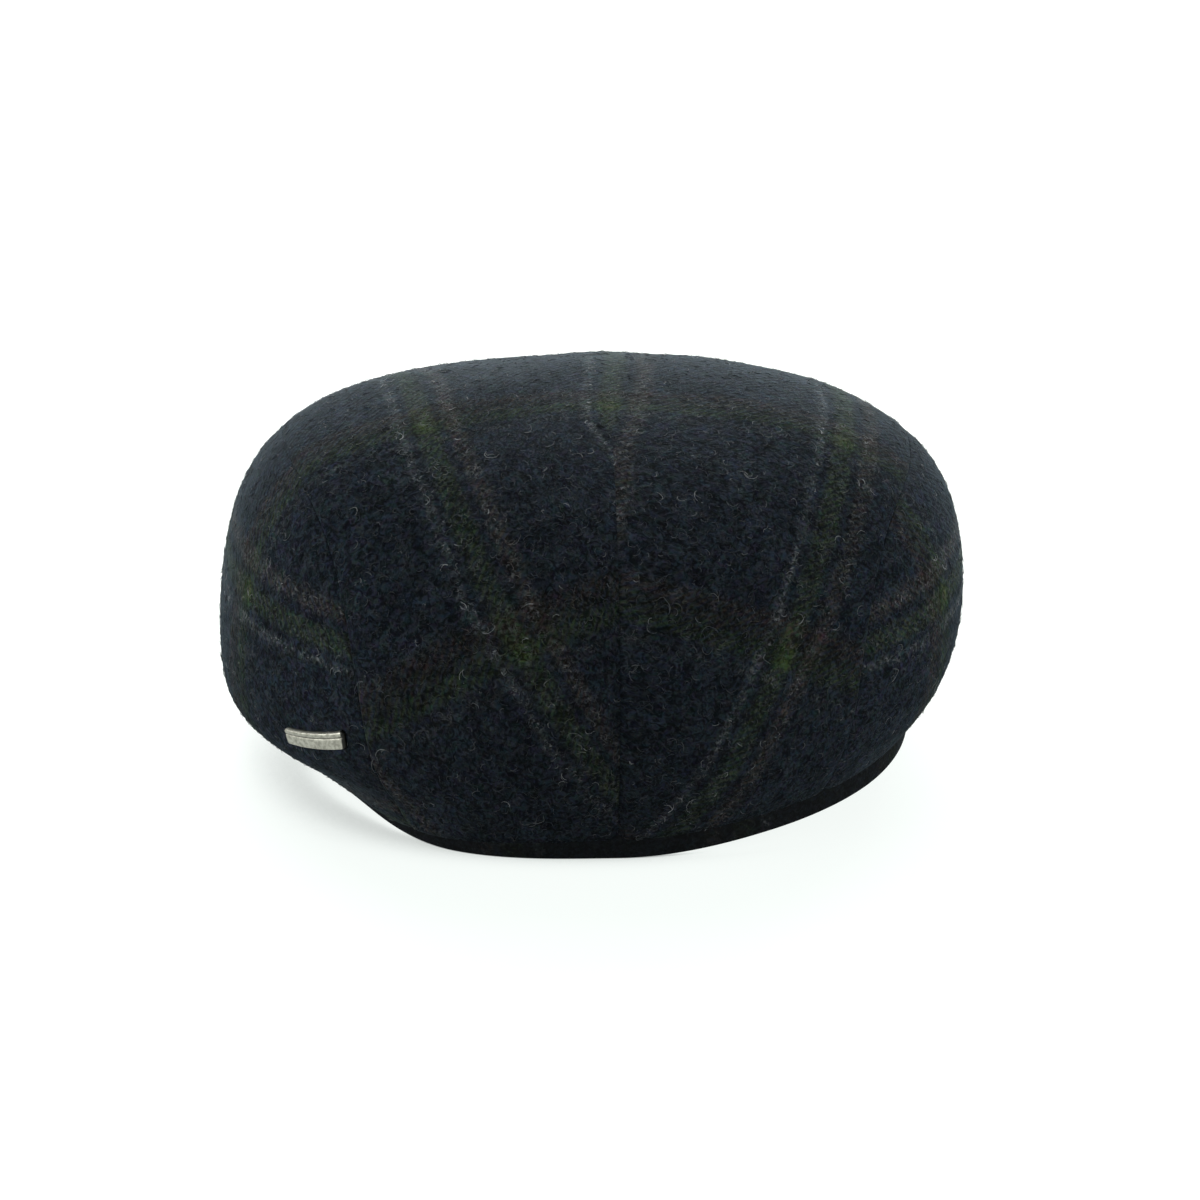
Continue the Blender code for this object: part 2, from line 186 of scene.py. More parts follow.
def crown_surface(angles, share):
    """Outer face of the crown: share runs from 0 at the hem to 1 at the highest point."""
    angles, share = np.broadcast_arrays(np.asarray(angles, float), np.asarray(share, float))
    v = section_values(angles)
    tuck = np.clip(share / TUCK_SHARE, 0, 1)
    dome = np.clip((share - TUCK_SHARE) / (1 - TUCK_SHARE), 0, 1)
    tuck_out = v["bulge_out"] - v["hem_out"]
    tuck_up = v["bulge_up"] - v["hem_up"]
    dome_up = CROWN_HEIGHT - v["bulge_up"]
    low_out = bezier(v["hem_out"], v["hem_out"] + v["tuck_full"] * tuck_out,
                     v["bulge_out"], v["bulge_out"], tuck)
    low_up = bezier(v["hem_up"], v["hem_up"] + HEM_RISE * tuck_up,
                    v["bulge_up"] - v["tuck_full"] * tuck_up, v["bulge_up"], tuck)
    high_out = bezier(v["bulge_out"], v["bulge_out"], v["top_full"] * v["bulge_out"], 0.0, dome)
    high_up = bezier(v["bulge_up"], v["bulge_up"] + v["side_full"] * dome_up,
                     CROWN_HEIGHT, CROWN_HEIGHT, dome)
    points = place(angles, np.where(dome > 0, high_out, low_out), np.where(dome > 0, high_up, low_up))
    points[..., 1] += APEX_BEHIND_AXIS * smooth_step(dome)
    from_apex = points[..., :2] - (AXIS_X, AXIS_Y + APEX_BEHIND_AXIS)
    cap_up = CROWN_HEIGHT - from_apex ** 2 @ (APEX_CURVE_X, APEX_CURVE_Y)
    near = smooth_step(1 - np.linalg.norm(from_apex, axis=-1) / APEX_BLEND)
    points[..., 2] += near * (cap_up - points[..., 2])
    return points


# %% The crown's outward direction


def crown_normal(angles, share):
    """Outward direction of the crown, from the way it changes along and across."""
    nudge_angle, nudge_share = 0.5, 0.004
    near_apex = np.minimum(share, NEAR_APEX)
    low = np.maximum(near_apex - nudge_share, 0)
    along = crown_surface(angles, near_apex + nudge_share) - crown_surface(angles, low)
    across = (crown_surface(angles + nudge_angle, near_apex)
              - crown_surface(angles - nudge_angle, near_apex))
    normal = np.cross(along, across)
    normal /= np.linalg.norm(normal, axis=-1, keepdims=True)
    normal[np.asarray(share) > NEAR_APEX] = (0.0, 0.0, 1.0)
    return normal


ring = crown_surface(np.linspace(0, 360, 73), TUCK_SHARE)
print("the crown is", in_mm(np.ptp(ring[:, :2], axis=0)), "mm at its widest")

# %% [markdown]
# ## Seams
# A side seam climbs from the hem at the back to a corner below the shoulder and then runs forward to
# the hem in front. The top is also sewn to itself at the centre back. Where cloth is sewn, the stitches
# pull both edges into a shallow groove, so every point near a seam sinks a little. The stitches lie
# inside the seam and don't show. Each point also remembers its painted shade: the cloth's colour is
# drawn darker in the seams' grooves and along the hem, where shade falls.

# %% Seam lines: the angle beside the centre back, and the share of the way up
SEAM_CORNER = 3
LEFT_SEAM = ((39, 0.00), (39.5, 0.12), (40.5, 0.24), (43, 0.34), (48, 0.43), (56, 0.50), (69, 0.55),
             (90, 0.57), (111, 0.50), (129, 0.33), (137, 0.17), (141, 0.00))
RIGHT_SEAM = ((41, 0.00), (41.5, 0.12), (42.2, 0.24), (44, 0.33), (48, 0.41), (56, 0.49), (69, 0.54),
              (90, 0.57), (111, 0.50), (129, 0.33), (137, 0.17), (141, 0.00))
DART_TOP = 0.80                # the centre-back seam ends here, as a share of the way up
DART_FADE = 0.40               # and flattens out over this share below its end
SEAM_DIVISIONS = 400


def seam_stretch(seam, side, first, last, places):
    """Angles and shares along a seam between two of its rows, at places from 0 to 1."""
    rows = np.array(seam, float)
    knots = crown_surface(side * rows[:, 0], rows[:, 1])
    along = np.concatenate([[0], np.cumsum(np.linalg.norm(np.diff(knots, axis=0), axis=1))])
    along_places = along[first] + np.asarray(places) * (along[last] - along[first])
    angles = side * cubic_through(along, rows[:, 0], along_places)
    return angles, cubic_through(along, rows[:, 1], along_places)


evenly = np.linspace(0, 1, SEAM_DIVISIONS + 1)
seam_points = [crown_surface(*seam_stretch(LEFT_SEAM, 1, 0, -1, evenly)),
               crown_surface(*seam_stretch(RIGHT_SEAM, -1, 0, -1, evenly))]
dart_points = crown_surface(0 * evenly, evenly * DART_TOP)
for name, line in (("left", seam_points[0]), ("right", seam_points[1]), ("centre-back", dart_points)):
    length = np.linalg.norm(np.diff(line, axis=0), axis=1).sum()
    print(f"the {name} seam is {length / MM:.0f} mm long")

# %% Sink the cloth along its seams
SEAM_DEPTH = 0.0005
SEAM_WIDTH = 0.0014            # the groove falls away over this distance
DART_DEPTH = 0.0009
DRAPE_HEIGHT = 0.0007          # soft unevenness of the cloth
DRAPE_LENGTH = 0.034
DRAPE_SHARE = 0.3              # it grows to its full height over this share of the way up
HEM_HANG = (                   # by angle, how many millimetres the hem hangs down over the rim band
    (-95, 0.0), (-60, 1.0), (-20, 1.8), (5, 2.0), (25, 3.2), (45, 5.0), (62, 4.4), (95, 0.0))
HEM_SHARE = 0.08               # the hang is gone at this share of the way up
DART_SHADE = 0.5              # painted shade in the centre-back seam, beside a side seam and along the hem
SIDE_SEAM_SHADE = 0.3
HEM_SHADE = 0.6
HEM_SHADE_SHARE = 0.035       # the hem's painted shade is gone at this share of the way up
SEAM_SHADE_WIDTH = 0.0007          # a seam's painted shade fades away over this distance
BATCH = 2000                   # points that are measured at a time


def distance_to(points, line):
    """Distance of each point to the nearest point of a finely divided line, and that point's index."""
    nearest = np.empty(len(points))
    index = np.empty(len(points), int)
    for start in range(0, len(points), BATCH):
        gaps = np.linalg.norm(points[start:start + BATCH, None] - line[None], axis=2)
        index[start:start + BATCH] = gaps.argmin(axis=1)
        nearest[start:start + BATCH] = gaps.min(axis=1)
    return nearest, index


def dressed_surface(angles, share):
    """The crown's outer face, grooved, uneven and hanging at its hem, and the painted shade of each point."""
    points = crown_surface(angles, share)
    flat = points.reshape(-1, 3)
    sink = np.zeros(len(flat))
    # painted shade: darker along the hem and beside the seams, where shade falls
    crease = HEM_SHADE * smooth_step(1 - share.reshape(-1) / HEM_SHADE_SHARE)
    for line in seam_points:
        gap = distance_to(flat, line)[0]
        sink = np.maximum(sink, SEAM_DEPTH * np.exp(-gap / SEAM_WIDTH))
        crease = np.maximum(crease, SIDE_SEAM_SHADE * np.exp(-gap / SEAM_SHADE_WIDTH))
    gap, index = distance_to(flat, dart_points)
    fade = smooth_step((1 - evenly[index]) * DART_TOP / DART_FADE)
    sink = np.maximum(sink, DART_DEPTH * fade * np.exp(-gap / SEAM_WIDTH))
    crease = np.maximum(crease, DART_SHADE * fade * np.exp(-gap / SEAM_SHADE_WIDTH))
    drape = [noise.noise(Vector(point / DRAPE_LENGTH)) for point in flat]
    hang_angles, hang = np.array(HEM_HANG, float).T
    from_back = (angles + 180) % 360 - 180
    points[..., 2] -= MM * np.interp(from_back, hang_angles, hang) * smooth_step(1 - share / HEM_SHARE)
    lift = DRAPE_HEIGHT * np.array(drape) * smooth_step(share.reshape(-1) / DRAPE_SHARE)
    points += ((lift - sink)[:, None] * crown_normal(angles, share).reshape(-1, 3)).reshape(points.shape)
    return points, crease.reshape(share.shape)


back_hem = dressed_surface(np.array([[0.0, 45.0]]), np.zeros((1, 2)))[0]
print("the hem at the back and at 45 degrees is", in_mm(back_hem[0, :, 2]), "mm up")

# %% [markdown]
# ## The top's grid
# A fan of columns would crowd together at the apex. A square grid is laid over the dome instead: its
# rings shrink from the panel's edge to the apex, and its four sides are the back, the left seam, the
# front hem and the right seam. Below the back side hangs a skirt down to the hem. Cells are narrower
# beside the seams, where the cloth bends sharply.

# %% Divide the top
HALF = 60                      # rings from the panel's edge to the apex
SKIRT_ROWS = 34
PANEL_COLUMNS = 150
PANEL_ROWS = 44
EDGE_CROWDING = 0.6            # 0 for even cells, towards 1 for cells that crowd at the seams


def crowd_both(t):
    """Spreads even steps so that they crowd at both ends."""
    return t - EDGE_CROWDING * np.sin(2 * np.pi * t) / (2 * np.pi)


def crowd_start(t):
    """Spreads even steps so that they crowd at the start."""
    return t - EDGE_CROWDING * np.sin(np.pi * t) / np.pi


def top_grids():
    """Angles and shares of the top's two grids, the skirt and the dome."""
    rows = crowd_start(np.linspace(0, 1, SKIRT_ROWS + 1))
    left_angle, left_share = seam_stretch(LEFT_SEAM, 1, 0, SEAM_CORNER, rows)
    right_angle, right_share = seam_stretch(RIGHT_SEAM, -1, 0, SEAM_CORNER, rows)
    half_way = crowd_both(np.linspace(0, 1, HALF + 1))
    skirt_angles = np.hstack([right_angle[:, None] * (1 - half_way), left_angle[:, None] * half_way[1:]])
    across = (skirt_angles - right_angle[:, None]) / (left_angle - right_angle)[:, None]
    skirt_share = right_share[:, None] + (left_share - right_share)[:, None] * across

    side_places = np.linspace(0, 1, 2 * HALF + 1)
    left = seam_stretch(LEFT_SEAM, 1, SEAM_CORNER, -1, side_places)
    right = seam_stretch(RIGHT_SEAM, -1, SEAM_CORNER, -1, side_places)
    front = left[0][-1] + (360 + right[0][-1] - left[0][-1]) * side_places
    edge_angles = np.concatenate([skirt_angles[-1], left[0][1:], front[1:], 360 + right[0][::-1][1:]])
    edge_share = np.concatenate([skirt_share[-1], left[1][1:], 0 * front[1:], right[1][::-1][1:]])

    i, j = np.meshgrid(np.arange(-HALF, HALF + 1), np.arange(-HALF, HALF + 1), indexing="ij")
    ring = np.maximum(np.abs(i), np.abs(j))
    width = np.maximum(2 * ring, 1)
    side = np.select([(j == ring) & (i < ring), (i == ring) & (j > -ring), (j == -ring) & (i > -ring)],
                     [0, 1, 2], 3)
    share_of_side = np.choose(side, [(i + ring) / width, (ring - j) / width,
                                     (ring - i) / width, (j + ring) / width])
    column = (side + share_of_side) * 2 * HALF
    dome_angles = np.interp(column, np.arange(8 * HALF + 1), edge_angles)
    from_edge = np.interp(column, np.arange(8 * HALF + 1), edge_share)
    climb = crowd_start(1 - ring / HALF)
    return (skirt_angles, skirt_share), (dome_angles, from_edge + (1 - from_edge) * climb)


# %% Divide a side panel


def panel_grid(seam, side):
    """Angles and shares of a side panel, from its back edge to its tip in front."""
    rows = crowd_both(np.linspace(0, 1, PANEL_ROWS + 1))
    climb_angle, climb_share = seam_stretch(seam, side, 0, SEAM_CORNER, rows)
    top_angle, top_share = seam_stretch(seam, side, SEAM_CORNER, -1,
                                        crowd_both(np.linspace(0, 1, PANEL_COLUMNS + 1)))
    share_of_way = (climb_share / climb_share[-1])[:, None]
    hem_angle = climb_angle[0] + (top_angle[-1] - climb_angle[0]) * (
        (top_angle - top_angle[0]) / (top_angle[-1] - top_angle[0]))
    angles = hem_angle + (top_angle - hem_angle) * share_of_way
    fade = 1 - np.linspace(0, 1, PANEL_COLUMNS + 1) ** 0.5
    angles = angles + (climb_angle[:, None] - angles[:, :1]) * fade
    return angles, top_share * share_of_way


skirt_grid, dome_grid = top_grids()
left_grid = panel_grid(LEFT_SEAM, 1)
right_grid = panel_grid(RIGHT_SEAM, -1)
print("the top has", skirt_grid[0].size + dome_grid[0].size, "grid points and a side", left_grid[0].size)

# %% Sew grids into one sheet


def add_piece(name, points, faces, edges=()):
    """A smooth mesh object that sits at the origin."""
    mesh = bpy.data.meshes.new(name)
    mesh.from_pydata([tuple(point) for point in points], list(edges), faces)
    mesh.validate()
    mesh.shade_smooth()
    piece = bpy.data.objects.new(name, mesh)
    bpy.context.scene.collection.objects.link(piece)
    print(name, "starts with", len(mesh.vertices), "points and", len(mesh.polygons), "faces")
    return piece


def add_sheet(name, grids, flip=False):
    """A sheet of cloth from grids of angles and shares; points that meet are one vertex."""
    points, labels, shade_per_point, found, faces = [], [], [], {}, []
    for angles, share in grids:
        surface, crease = dressed_surface(angles, share)
        rows, columns = share.shape
        index = np.empty((rows, columns), int)
        for i in range(rows):
            for j in range(columns):
                key = tuple(np.round(surface[i, j], 6))
                if key not in found:
                    found[key] = len(points)
                    points.append(surface[i, j])
                    shade_per_point.append(crease[i, j])
                    labels.append((angles[i, j], share[i, j]))
                index[i, j] = found[key]
        for i in range(rows - 1):
            for j in range(columns - 1):
                corners = (index[i, j], index[i + 1, j], index[i + 1, j + 1], index[i, j + 1])
                face = list(dict.fromkeys(int(c) for c in corners))
                if len(face) > 2:
                    faces.append(face[::-1] if flip else face)
    piece = add_piece(name, points, faces)
    # each point keeps its painted shade, which darkens the cloth's colour
    piece.data.attributes.new("crease", "FLOAT", "POINT").data.foreach_set("value", shade_per_point)
    return piece, np.array(labels)


top_cloth, top_labels = add_sheet("top_cloth", (skirt_grid, dome_grid))
left_cloth, left_labels = add_sheet("left_cloth", (left_grid,))
right_cloth, right_labels = add_sheet("right_cloth", (right_grid,), flip=True)

# %% [markdown]
# ## Flattening each panel
# Cloth is cut flat and then sewn, so a tartan stripe is straight on the pattern piece and bends only
# where the cloth bends. Unwrapping a sheet gives its pattern piece. The top is first slit along the
# centre-back seam, as the real one is. Wool is also steamed and shrunk over a block, so the real piece
# lies between the flattening that keeps lengths and the one that keeps angles; the top mixes both.

# %% Unwrap a sheet


def unwrap(piece, method):
    """Flat places of every face corner from one of Blender's unwrap methods, in its own unit."""
    for other in bpy.context.selected_objects:
        other.select_set(False)
    piece.select_set(True)
    bpy.context.view_layer.objects.active = piece
    bpy.ops.object.mode_set(mode="EDIT")
    bpy.ops.mesh.select_all(action="SELECT")
    bpy.ops.uv.unwrap(method=method, margin=0.0)
    bpy.ops.object.mode_set(mode="OBJECT")
    flat = np.empty(2 * len(piece.data.loops))
    piece.data.uv_layers["cloth"].data.foreach_get("uv", flat)
    return flat.reshape(-1, 2)


def corner_points(piece):
    """Every face corner's vertex, and the corners of each triangle."""
    mesh = piece.data
    mesh.calc_loop_triangles()
    loop_vertex = np.empty(len(mesh.loops), int)
    mesh.loops.foreach_get("vertex_index", loop_vertex)
    triangles = np.empty(3 * len(mesh.loop_triangles), int)
    mesh.loop_triangles.foreach_get("loops", triangles)
    places = np.empty(3 * len(mesh.vertices))
    mesh.vertices.foreach_get("co", places)
    return loop_vertex, triangles.reshape(-1, 3), places.reshape(-1, 3)


# %% Lay it out in metres, and steam it


def pattern_piece(piece, method, start, end, heading):
    """Flat places in metres, with vertex 'start' at zero and vertex 'end' towards a heading in degrees."""
    flat = unwrap(piece, method)
    loop_vertex, triangles, places = corner_points(piece)
    a, b, c = (places[loop_vertex[triangles[:, k]]] for k in range(3))
    cloth_area = np.linalg.norm(np.cross(b - a, c - a), axis=1).sum() / 2
    a, b, c = (flat[triangles[:, k]] for k in range(3))
    flat_area = abs(((b - a)[:, 0] * (c - a)[:, 1] - (b - a)[:, 1] * (c - a)[:, 0]).sum()) / 2
    flat *= math.sqrt(cloth_area / flat_area)
    here, there = (flat[np.argmax(loop_vertex == vertex)] for vertex in (start, end))
    turn = math.radians(heading) - math.atan2(*(there - here)[::-1])
    spin = np.array([[math.cos(turn), -math.sin(turn)], [math.sin(turn), math.cos(turn)]])
    return (flat - here) @ spin.T, cloth_area


def steamed(flat):
    """Moves a pattern piece's places by the pulls, each of which fades away over its reach."""
    weights = np.full(len(flat), PULL_FADE)
    moved = np.zeros_like(flat)
    for x, y, pull_x, pull_y in PULLS:
        near = np.exp(-((flat - (x * MM, y * MM)) ** 2).sum(axis=1) / PULL_REACH ** 2)
        weights += near
        moved += near[:, None] * (pull_x * MM, pull_y * MM)
    return flat + moved / weights[:, None]


def label_nearest(labels, angle, share):
    """The vertex nearest to an angle and a share of the way up."""
    turn = (labels[:, 0] - angle + 180) % 360 - 180
    return int(np.argmin(np.abs(turn) / 90 + np.abs(labels[:, 1] - share)))


# %% How the top's cloth is eased and steamed
EASE_LEFT = 0.50               # 0 keeps lengths and 1 keeps angles, either side of the centre-back seam
EASE_RIGHT = 0.72
EASE_TURN = 0.030              # the two sides blend over this distance beside the centre line
PULL_REACH = 0.026
PULL_FADE = 0.05               # pulls fade where all of them together weigh less than this
PULLS = (                      # how the steamed wool gave way: a place on the top's pattern piece, and
    (97, 48, 5, -4),           # the pull there, all in millimetres
    (67, 53, 7, -10),
    (42, 51, 6, -8),
    (12, 48, -4, -6),
    (-3, 13, 0, -4),
    (2, 70, -8, -6),
    (-13, 70, -1, -5),
    (-15, 105, 5, -9),
    (-38, 48, 0, -3),
    (-68, 48, 5, -4),
    (-88, 58, 0, -8),
    (60, 88, 6, -9),
    (92, 128, 3, -4),
    (72, 128, 4, -8),
    (52, 128, 1, -11),
    (37, 133, 1, -13),
    (-28, 133, 4, -14),
    (-43, 133, 4, -11),
    (-63, 131, 3, -8),
    (-78, 128, 2, -4),
    (-91, 123, 1, 1),
    (-75, 85, 3, -6),
    (62, 163, 0, -8),
    (-68, 163, 5, -6),
    (-75, 178, 11, -5),
    (69, 181, -4, -8))
print(len(PULLS), "pulls")

# %% Flatten the top and the side panels
ON_DART = 0.01                 # degrees from the centre back
for cloth in (top_cloth, left_cloth, right_cloth):
    cloth.data.uv_layers.new(name="cloth")
on_dart = (np.abs(top_labels[:, 0]) < ON_DART) & (top_labels[:, 1] <= DART_TOP)
for edge in top_cloth.data.edges:
    edge.use_seam = bool(on_dart[edge.vertices[0]] and on_dart[edge.vertices[1]])
apex = label_nearest(top_labels, 180, 1)
front_middle = label_nearest(top_labels, 180, 0.35)
cut_to_length, top_area = pattern_piece(top_cloth, "MINIMUM_STRETCH", apex, front_middle, -90)
cut_to_angle, top_area = pattern_piece(top_cloth, "CONFORMAL", apex, front_middle, -90)
ease = EASE_RIGHT + (EASE_LEFT - EASE_RIGHT) * smooth_step(0.5 + cut_to_angle[:, :1] / (2 * EASE_TURN))
top_flat = steamed(cut_to_length + ease * (cut_to_angle - cut_to_length))
top_cloth.data.uv_layers["cloth"].data.foreach_set("uv", top_flat.ravel())
flat_cuts = {"top_cloth": (top_flat, top_area)}
for cloth, labels, side, heading in ((left_cloth, left_labels, 1, 180), (right_cloth, right_labels, -1, 0)):
    hem_back = label_nearest(labels, side * 45, 0)
    hem_front = label_nearest(labels, side * 100, 0)
    flat, area = pattern_piece(cloth, "CONFORMAL", hem_back, hem_front, heading)
    cloth.data.uv_layers["cloth"].data.foreach_set("uv", flat.ravel())
    flat_cuts[cloth.name] = (flat, area)
for name, (flat, area) in flat_cuts.items():
    width, length = np.ptp(flat, axis=0)
    print(f"{name}: cut {width / MM:.0f} by {length / MM:.0f} mm, {10000 * area:.0f} square cm")

# %% [markdown]
# ## Modifiers that are applied
# Some pieces get their last form from a modifier, such as a thickness or a node tree. Its result is
# kept as the piece's own mesh, so that what is handed over is a plain mesh.

# %% Keep what a modifier makes


def freeze(piece):
    """Replaces an object's mesh by what its modifiers make of it, and removes them."""
    depsgraph = bpy.context.evaluated_depsgraph_get()
    mesh = bpy.data.meshes.new_from_object(piece.evaluated_get(depsgraph))
    piece.modifiers.clear()
    piece.data = mesh
    mesh.name = piece.name
    print(piece.name, "has", sum(len(face.vertices) - 2 for face in mesh.polygons), "triangles")


def thicken(piece, thickness):
    """Gives a sheet its thickness, inwards from its outer face."""
    wall = piece.modifiers.new("thickness", "SOLIDIFY")
    wall.thickness = thickness
    wall.offset = -1.0
    wall.use_even_offset = False
    freeze(piece)


# %% [markdown]
# ## The rim band
# A folded strip of the same wool runs round the head opening. It is a rounded section carried along a
# path, which is what Curve to Mesh does in Geometry Nodes. The tree also stores how far each point is
# along the strip and round its fold, so that the cloth pattern can follow it.

# %% Node helpers


def set_inputs(node, **values):
    """Sets a node's input sockets to plain values, with '_' for each space in a name."""
    for key, value in values.items():
        node.inputs[key.replace("_", " ")].default_value = value


def add_node(tree, kind, **settings):
    """A node with its settings; keys that match a property are set, others are input sockets."""
    node = tree.nodes.new(kind)
    for key, value in settings.items():
        if hasattr(node, key):
            setattr(node, key, value)
        else:
            set_inputs(node, **{key: value})
    return node


def join(tree, *pairs):
    """Links each source socket to its target socket."""
    for source, target in pairs:
        tree.links.new(source, target)


def start_tree(name, inputs):
    """A Geometry Nodes tree that takes and gives geometry, with named inputs and their defaults."""
    tree = bpy.data.node_groups.new(name, "GeometryNodeTree")
    tree.interface.new_socket("Geometry", in_out="INPUT", socket_type="NodeSocketGeometry")
    tree.interface.new_socket("Geometry", in_out="OUTPUT", socket_type="NodeSocketGeometry")
    for label, kind, value in inputs:
        socket = tree.interface.new_socket(label, in_out="INPUT", socket_type=kind)
        if value is not None:
            socket.default_value = value
    return tree, tree.nodes.new("NodeGroupInput"), tree.nodes.new("NodeGroupOutput")


def grow(piece, tree, **values):
    """Runs a Geometry Nodes tree on a piece, with its inputs given by name, and keeps the result."""
    modifier = piece.modifiers.new(tree.name, "NODES")
    modifier.node_group = tree
    for item in tree.interface.items_tree:
        key = item.name.lower().replace(" ", "_")
        if item.in_out == "INPUT" and key in values:
            modifier[item.identifier] = values[key]
    freeze(piece)


def enabled_output(node):
    """The one output that a node of several data types shows."""
    return next(socket for socket in node.outputs if socket.enabled)


# %% The nodes of a strip that follows a path
strip_tree, strip_in, strip_out = start_tree("folded strip", (
    ("Thickness", "NodeSocketFloat", 0.003),
    ("Height", "NodeSocketFloat", 0.0075),
    ("Fold", "NodeSocketFloat", 0.001),          # radius of its rounded edges
    ("Material", "NodeSocketMaterial", None)))
to_curve = add_node(strip_tree, "GeometryNodeMeshToCurve")
along = add_node(strip_tree, "GeometryNodeSplineParameter")
keep_along = add_node(strip_tree, "GeometryNodeCaptureAttribute")
keep_along.capture_items.new("FLOAT", "Along")
section = add_node(strip_tree, "GeometryNodeCurvePrimitiveQuadrilateral")
fold = add_node(strip_tree, "GeometryNodeFilletCurve", mode="POLY", Count=4)
round_it = add_node(strip_tree, "GeometryNodeSplineParameter")
keep_round = add_node(strip_tree, "GeometryNodeCaptureAttribute")
keep_round.capture_items.new("FLOAT", "Round")
sweep = add_node(strip_tree, "GeometryNodeCurveToMesh")
pattern = add_node(strip_tree, "ShaderNodeCombineXYZ")
store = add_node(strip_tree, "GeometryNodeStoreNamedAttribute", data_type="FLOAT2", domain="CORNER",
                 Name="cloth")
smooth = add_node(strip_tree, "GeometryNodeSetShadeSmooth")
realize = add_node(strip_tree, "GeometryNodeRealizeInstances")
paint = add_node(strip_tree, "GeometryNodeSetMaterial")
print("the strip's tree has", len(strip_tree.nodes), "nodes")

# %% Link the strip's nodes
join(strip_tree,
     (strip_in.outputs["Geometry"], to_curve.inputs["Mesh"]),
     (to_curve.outputs["Curve"], keep_along.inputs["Geometry"]),
     (along.outputs["Length"], keep_along.inputs["Along"]),
     (strip_in.outputs["Thickness"], section.inputs["Width"]),
     (strip_in.outputs["Height"], section.inputs["Height"]),
     (section.outputs["Curve"], fold.inputs["Curve"]),
     (strip_in.outputs["Fold"], fold.inputs["Radius"]),
     (fold.outputs["Curve"], keep_round.inputs["Geometry"]),
     (round_it.outputs["Length"], keep_round.inputs["Round"]),
     (keep_along.outputs["Geometry"], sweep.inputs["Curve"]),
     (keep_round.outputs["Geometry"], sweep.inputs["Profile Curve"]),
     (keep_along.outputs["Along"], pattern.inputs["X"]),
     (keep_round.outputs["Round"], pattern.inputs["Y"]),
     (sweep.outputs["Mesh"], store.inputs["Geometry"]),
     (pattern.outputs["Vector"], store.inputs["Value"]),
     (store.outputs["Geometry"], smooth.inputs["Geometry"]),
     (smooth.outputs["Geometry"], realize.inputs["Geometry"]),
     (realize.outputs["Geometry"], paint.inputs["Geometry"]),
     (strip_in.outputs["Material"], paint.inputs["Material"]),
     (paint.outputs["Geometry"], strip_out.inputs["Geometry"]))

# %% Sweep the rim band along the opening
RIM_THICKNESS = 0.0030
RIM_FOLD = 0.0009
RIM_TUCK = 0.0016              # the band's upper edge is sewn in this far above its solid's
RIM_INSET = 0.0002             # its outer face lies this far inside its solid's
RIM_STEPS = 240

rim_angles = 180 + np.linspace(0, 360, RIM_STEPS, endpoint=False)
rim_values = section_values(rim_angles)
rim_path = place(rim_angles, rim_values["rim_out"] - RIM_INSET - RIM_THICKNESS / 2,
                 rim_values["rim_up"] + (RIM_HEIGHT + RIM_TUCK) / 2)
rim_cloth = add_piece("rim_cloth", rim_path, [], [(k, (k + 1) % RIM_STEPS) for k in range(RIM_STEPS)])
grow(rim_cloth, strip_tree, thickness=RIM_THICKNESS, height=RIM_HEIGHT + RIM_TUCK, fold=RIM_FOLD)
rim_points = np.array([vertex.co for vertex in rim_cloth.data.vertices])
print("the rim band measures", in_mm(np.ptp(rim_points, axis=0)), "mm")

# %% [markdown]
# ## The peak
# A board between two layers of cloth, cut as a crescent. Its section runs from the rim band out to a
# rounded front edge and back underneath, and it narrows to nothing at its two tips. It could be lofted
# from curves, but its sections follow the crown's table, so a grid of their points is simpler.

# %% The peak's section
PEAK_THICKNESS = 0.0045
PEAK_BELOW_RIM_TOP = 0.0020
PEAK_END_ANGLE = 105.0
PEAK_TAPER = 16.0              # degrees over which a tip narrows
PEAK_TIP = 0.35                # a tip's thickness, as a share of the whole
PEAK_LEAST_UP = 0.0002         # nothing of it lies lower than this
PEAK_COLUMNS = 150
PEAK_EDGE_STEPS = 8
PEAK_ROWS = 14


def peak_section(angles):
    """Grids of points round the peak's closed section at each angle, and of their places on flat cloth."""
    v = section_values(angles)
    inner_out = v["rim_out"] + GAP
    inner_up = v["rim_up"] + RIM_HEIGHT - PEAK_BELOW_RIM_TOP
    slope = (v["hem_up"] - GAP - inner_up) / (v["hem_out"] - inner_out)
    from_tip = np.minimum(angles - PEAK_END_ANGLE, 360 - PEAK_END_ANGLE - angles)
    along_tip = np.clip(from_tip / PEAK_TAPER, 0, 1)
    taper = np.sqrt(along_tip * (2 - along_tip))
    width = (v["hem_out"] + v["lip"] - inner_out) * taper
    half = PEAK_THICKNESS / 2 * (PEAK_TIP + (1 - PEAK_TIP) * taper)
    bend = np.radians(np.linspace(90, -90, PEAK_EDGE_STEPS + 1))[1:-1]
    reach = np.maximum(width - half, 0)
    straight = [reach * t for t in np.linspace(0, 1, PEAK_ROWS + 1)]
    outs = straight + [reach + half * math.cos(b) for b in bend] + straight[::-1]
    ups = [half] * len(straight) + [half * math.sin(b) for b in bend] + [-half] * len(straight)
    unrolled = straight + [reach + half * (math.pi / 2 - abs(b)) for b in bend] + straight[::-1]
    rows = []
    for out, up in zip(outs, ups):
        height = inner_up + slope * out - PEAK_THICKNESS / 2 + up
        rows.append(place(angles, inner_out + out, np.maximum(height, PEAK_LEAST_UP)))
    return np.array(rows), np.array([place(angles, inner_out + out, 0 * out)[:, :2] for out in unrolled])


peak_angles = np.linspace(PEAK_END_ANGLE, 360 - PEAK_END_ANGLE, PEAK_COLUMNS + 1)
peak_grid, peak_flat = peak_section(peak_angles)
print("the peak's section has", len(peak_grid), "points")

# %% Loft the peak


def give_places(piece, layer_name, places):
    """Stores each vertex's place on a flat pattern as a UV map."""
    layer = piece.data.uv_layers.new(name=layer_name)
    for loop, uv in zip(piece.data.loops, layer.data):
        uv.uv = places[loop.vertex_index]


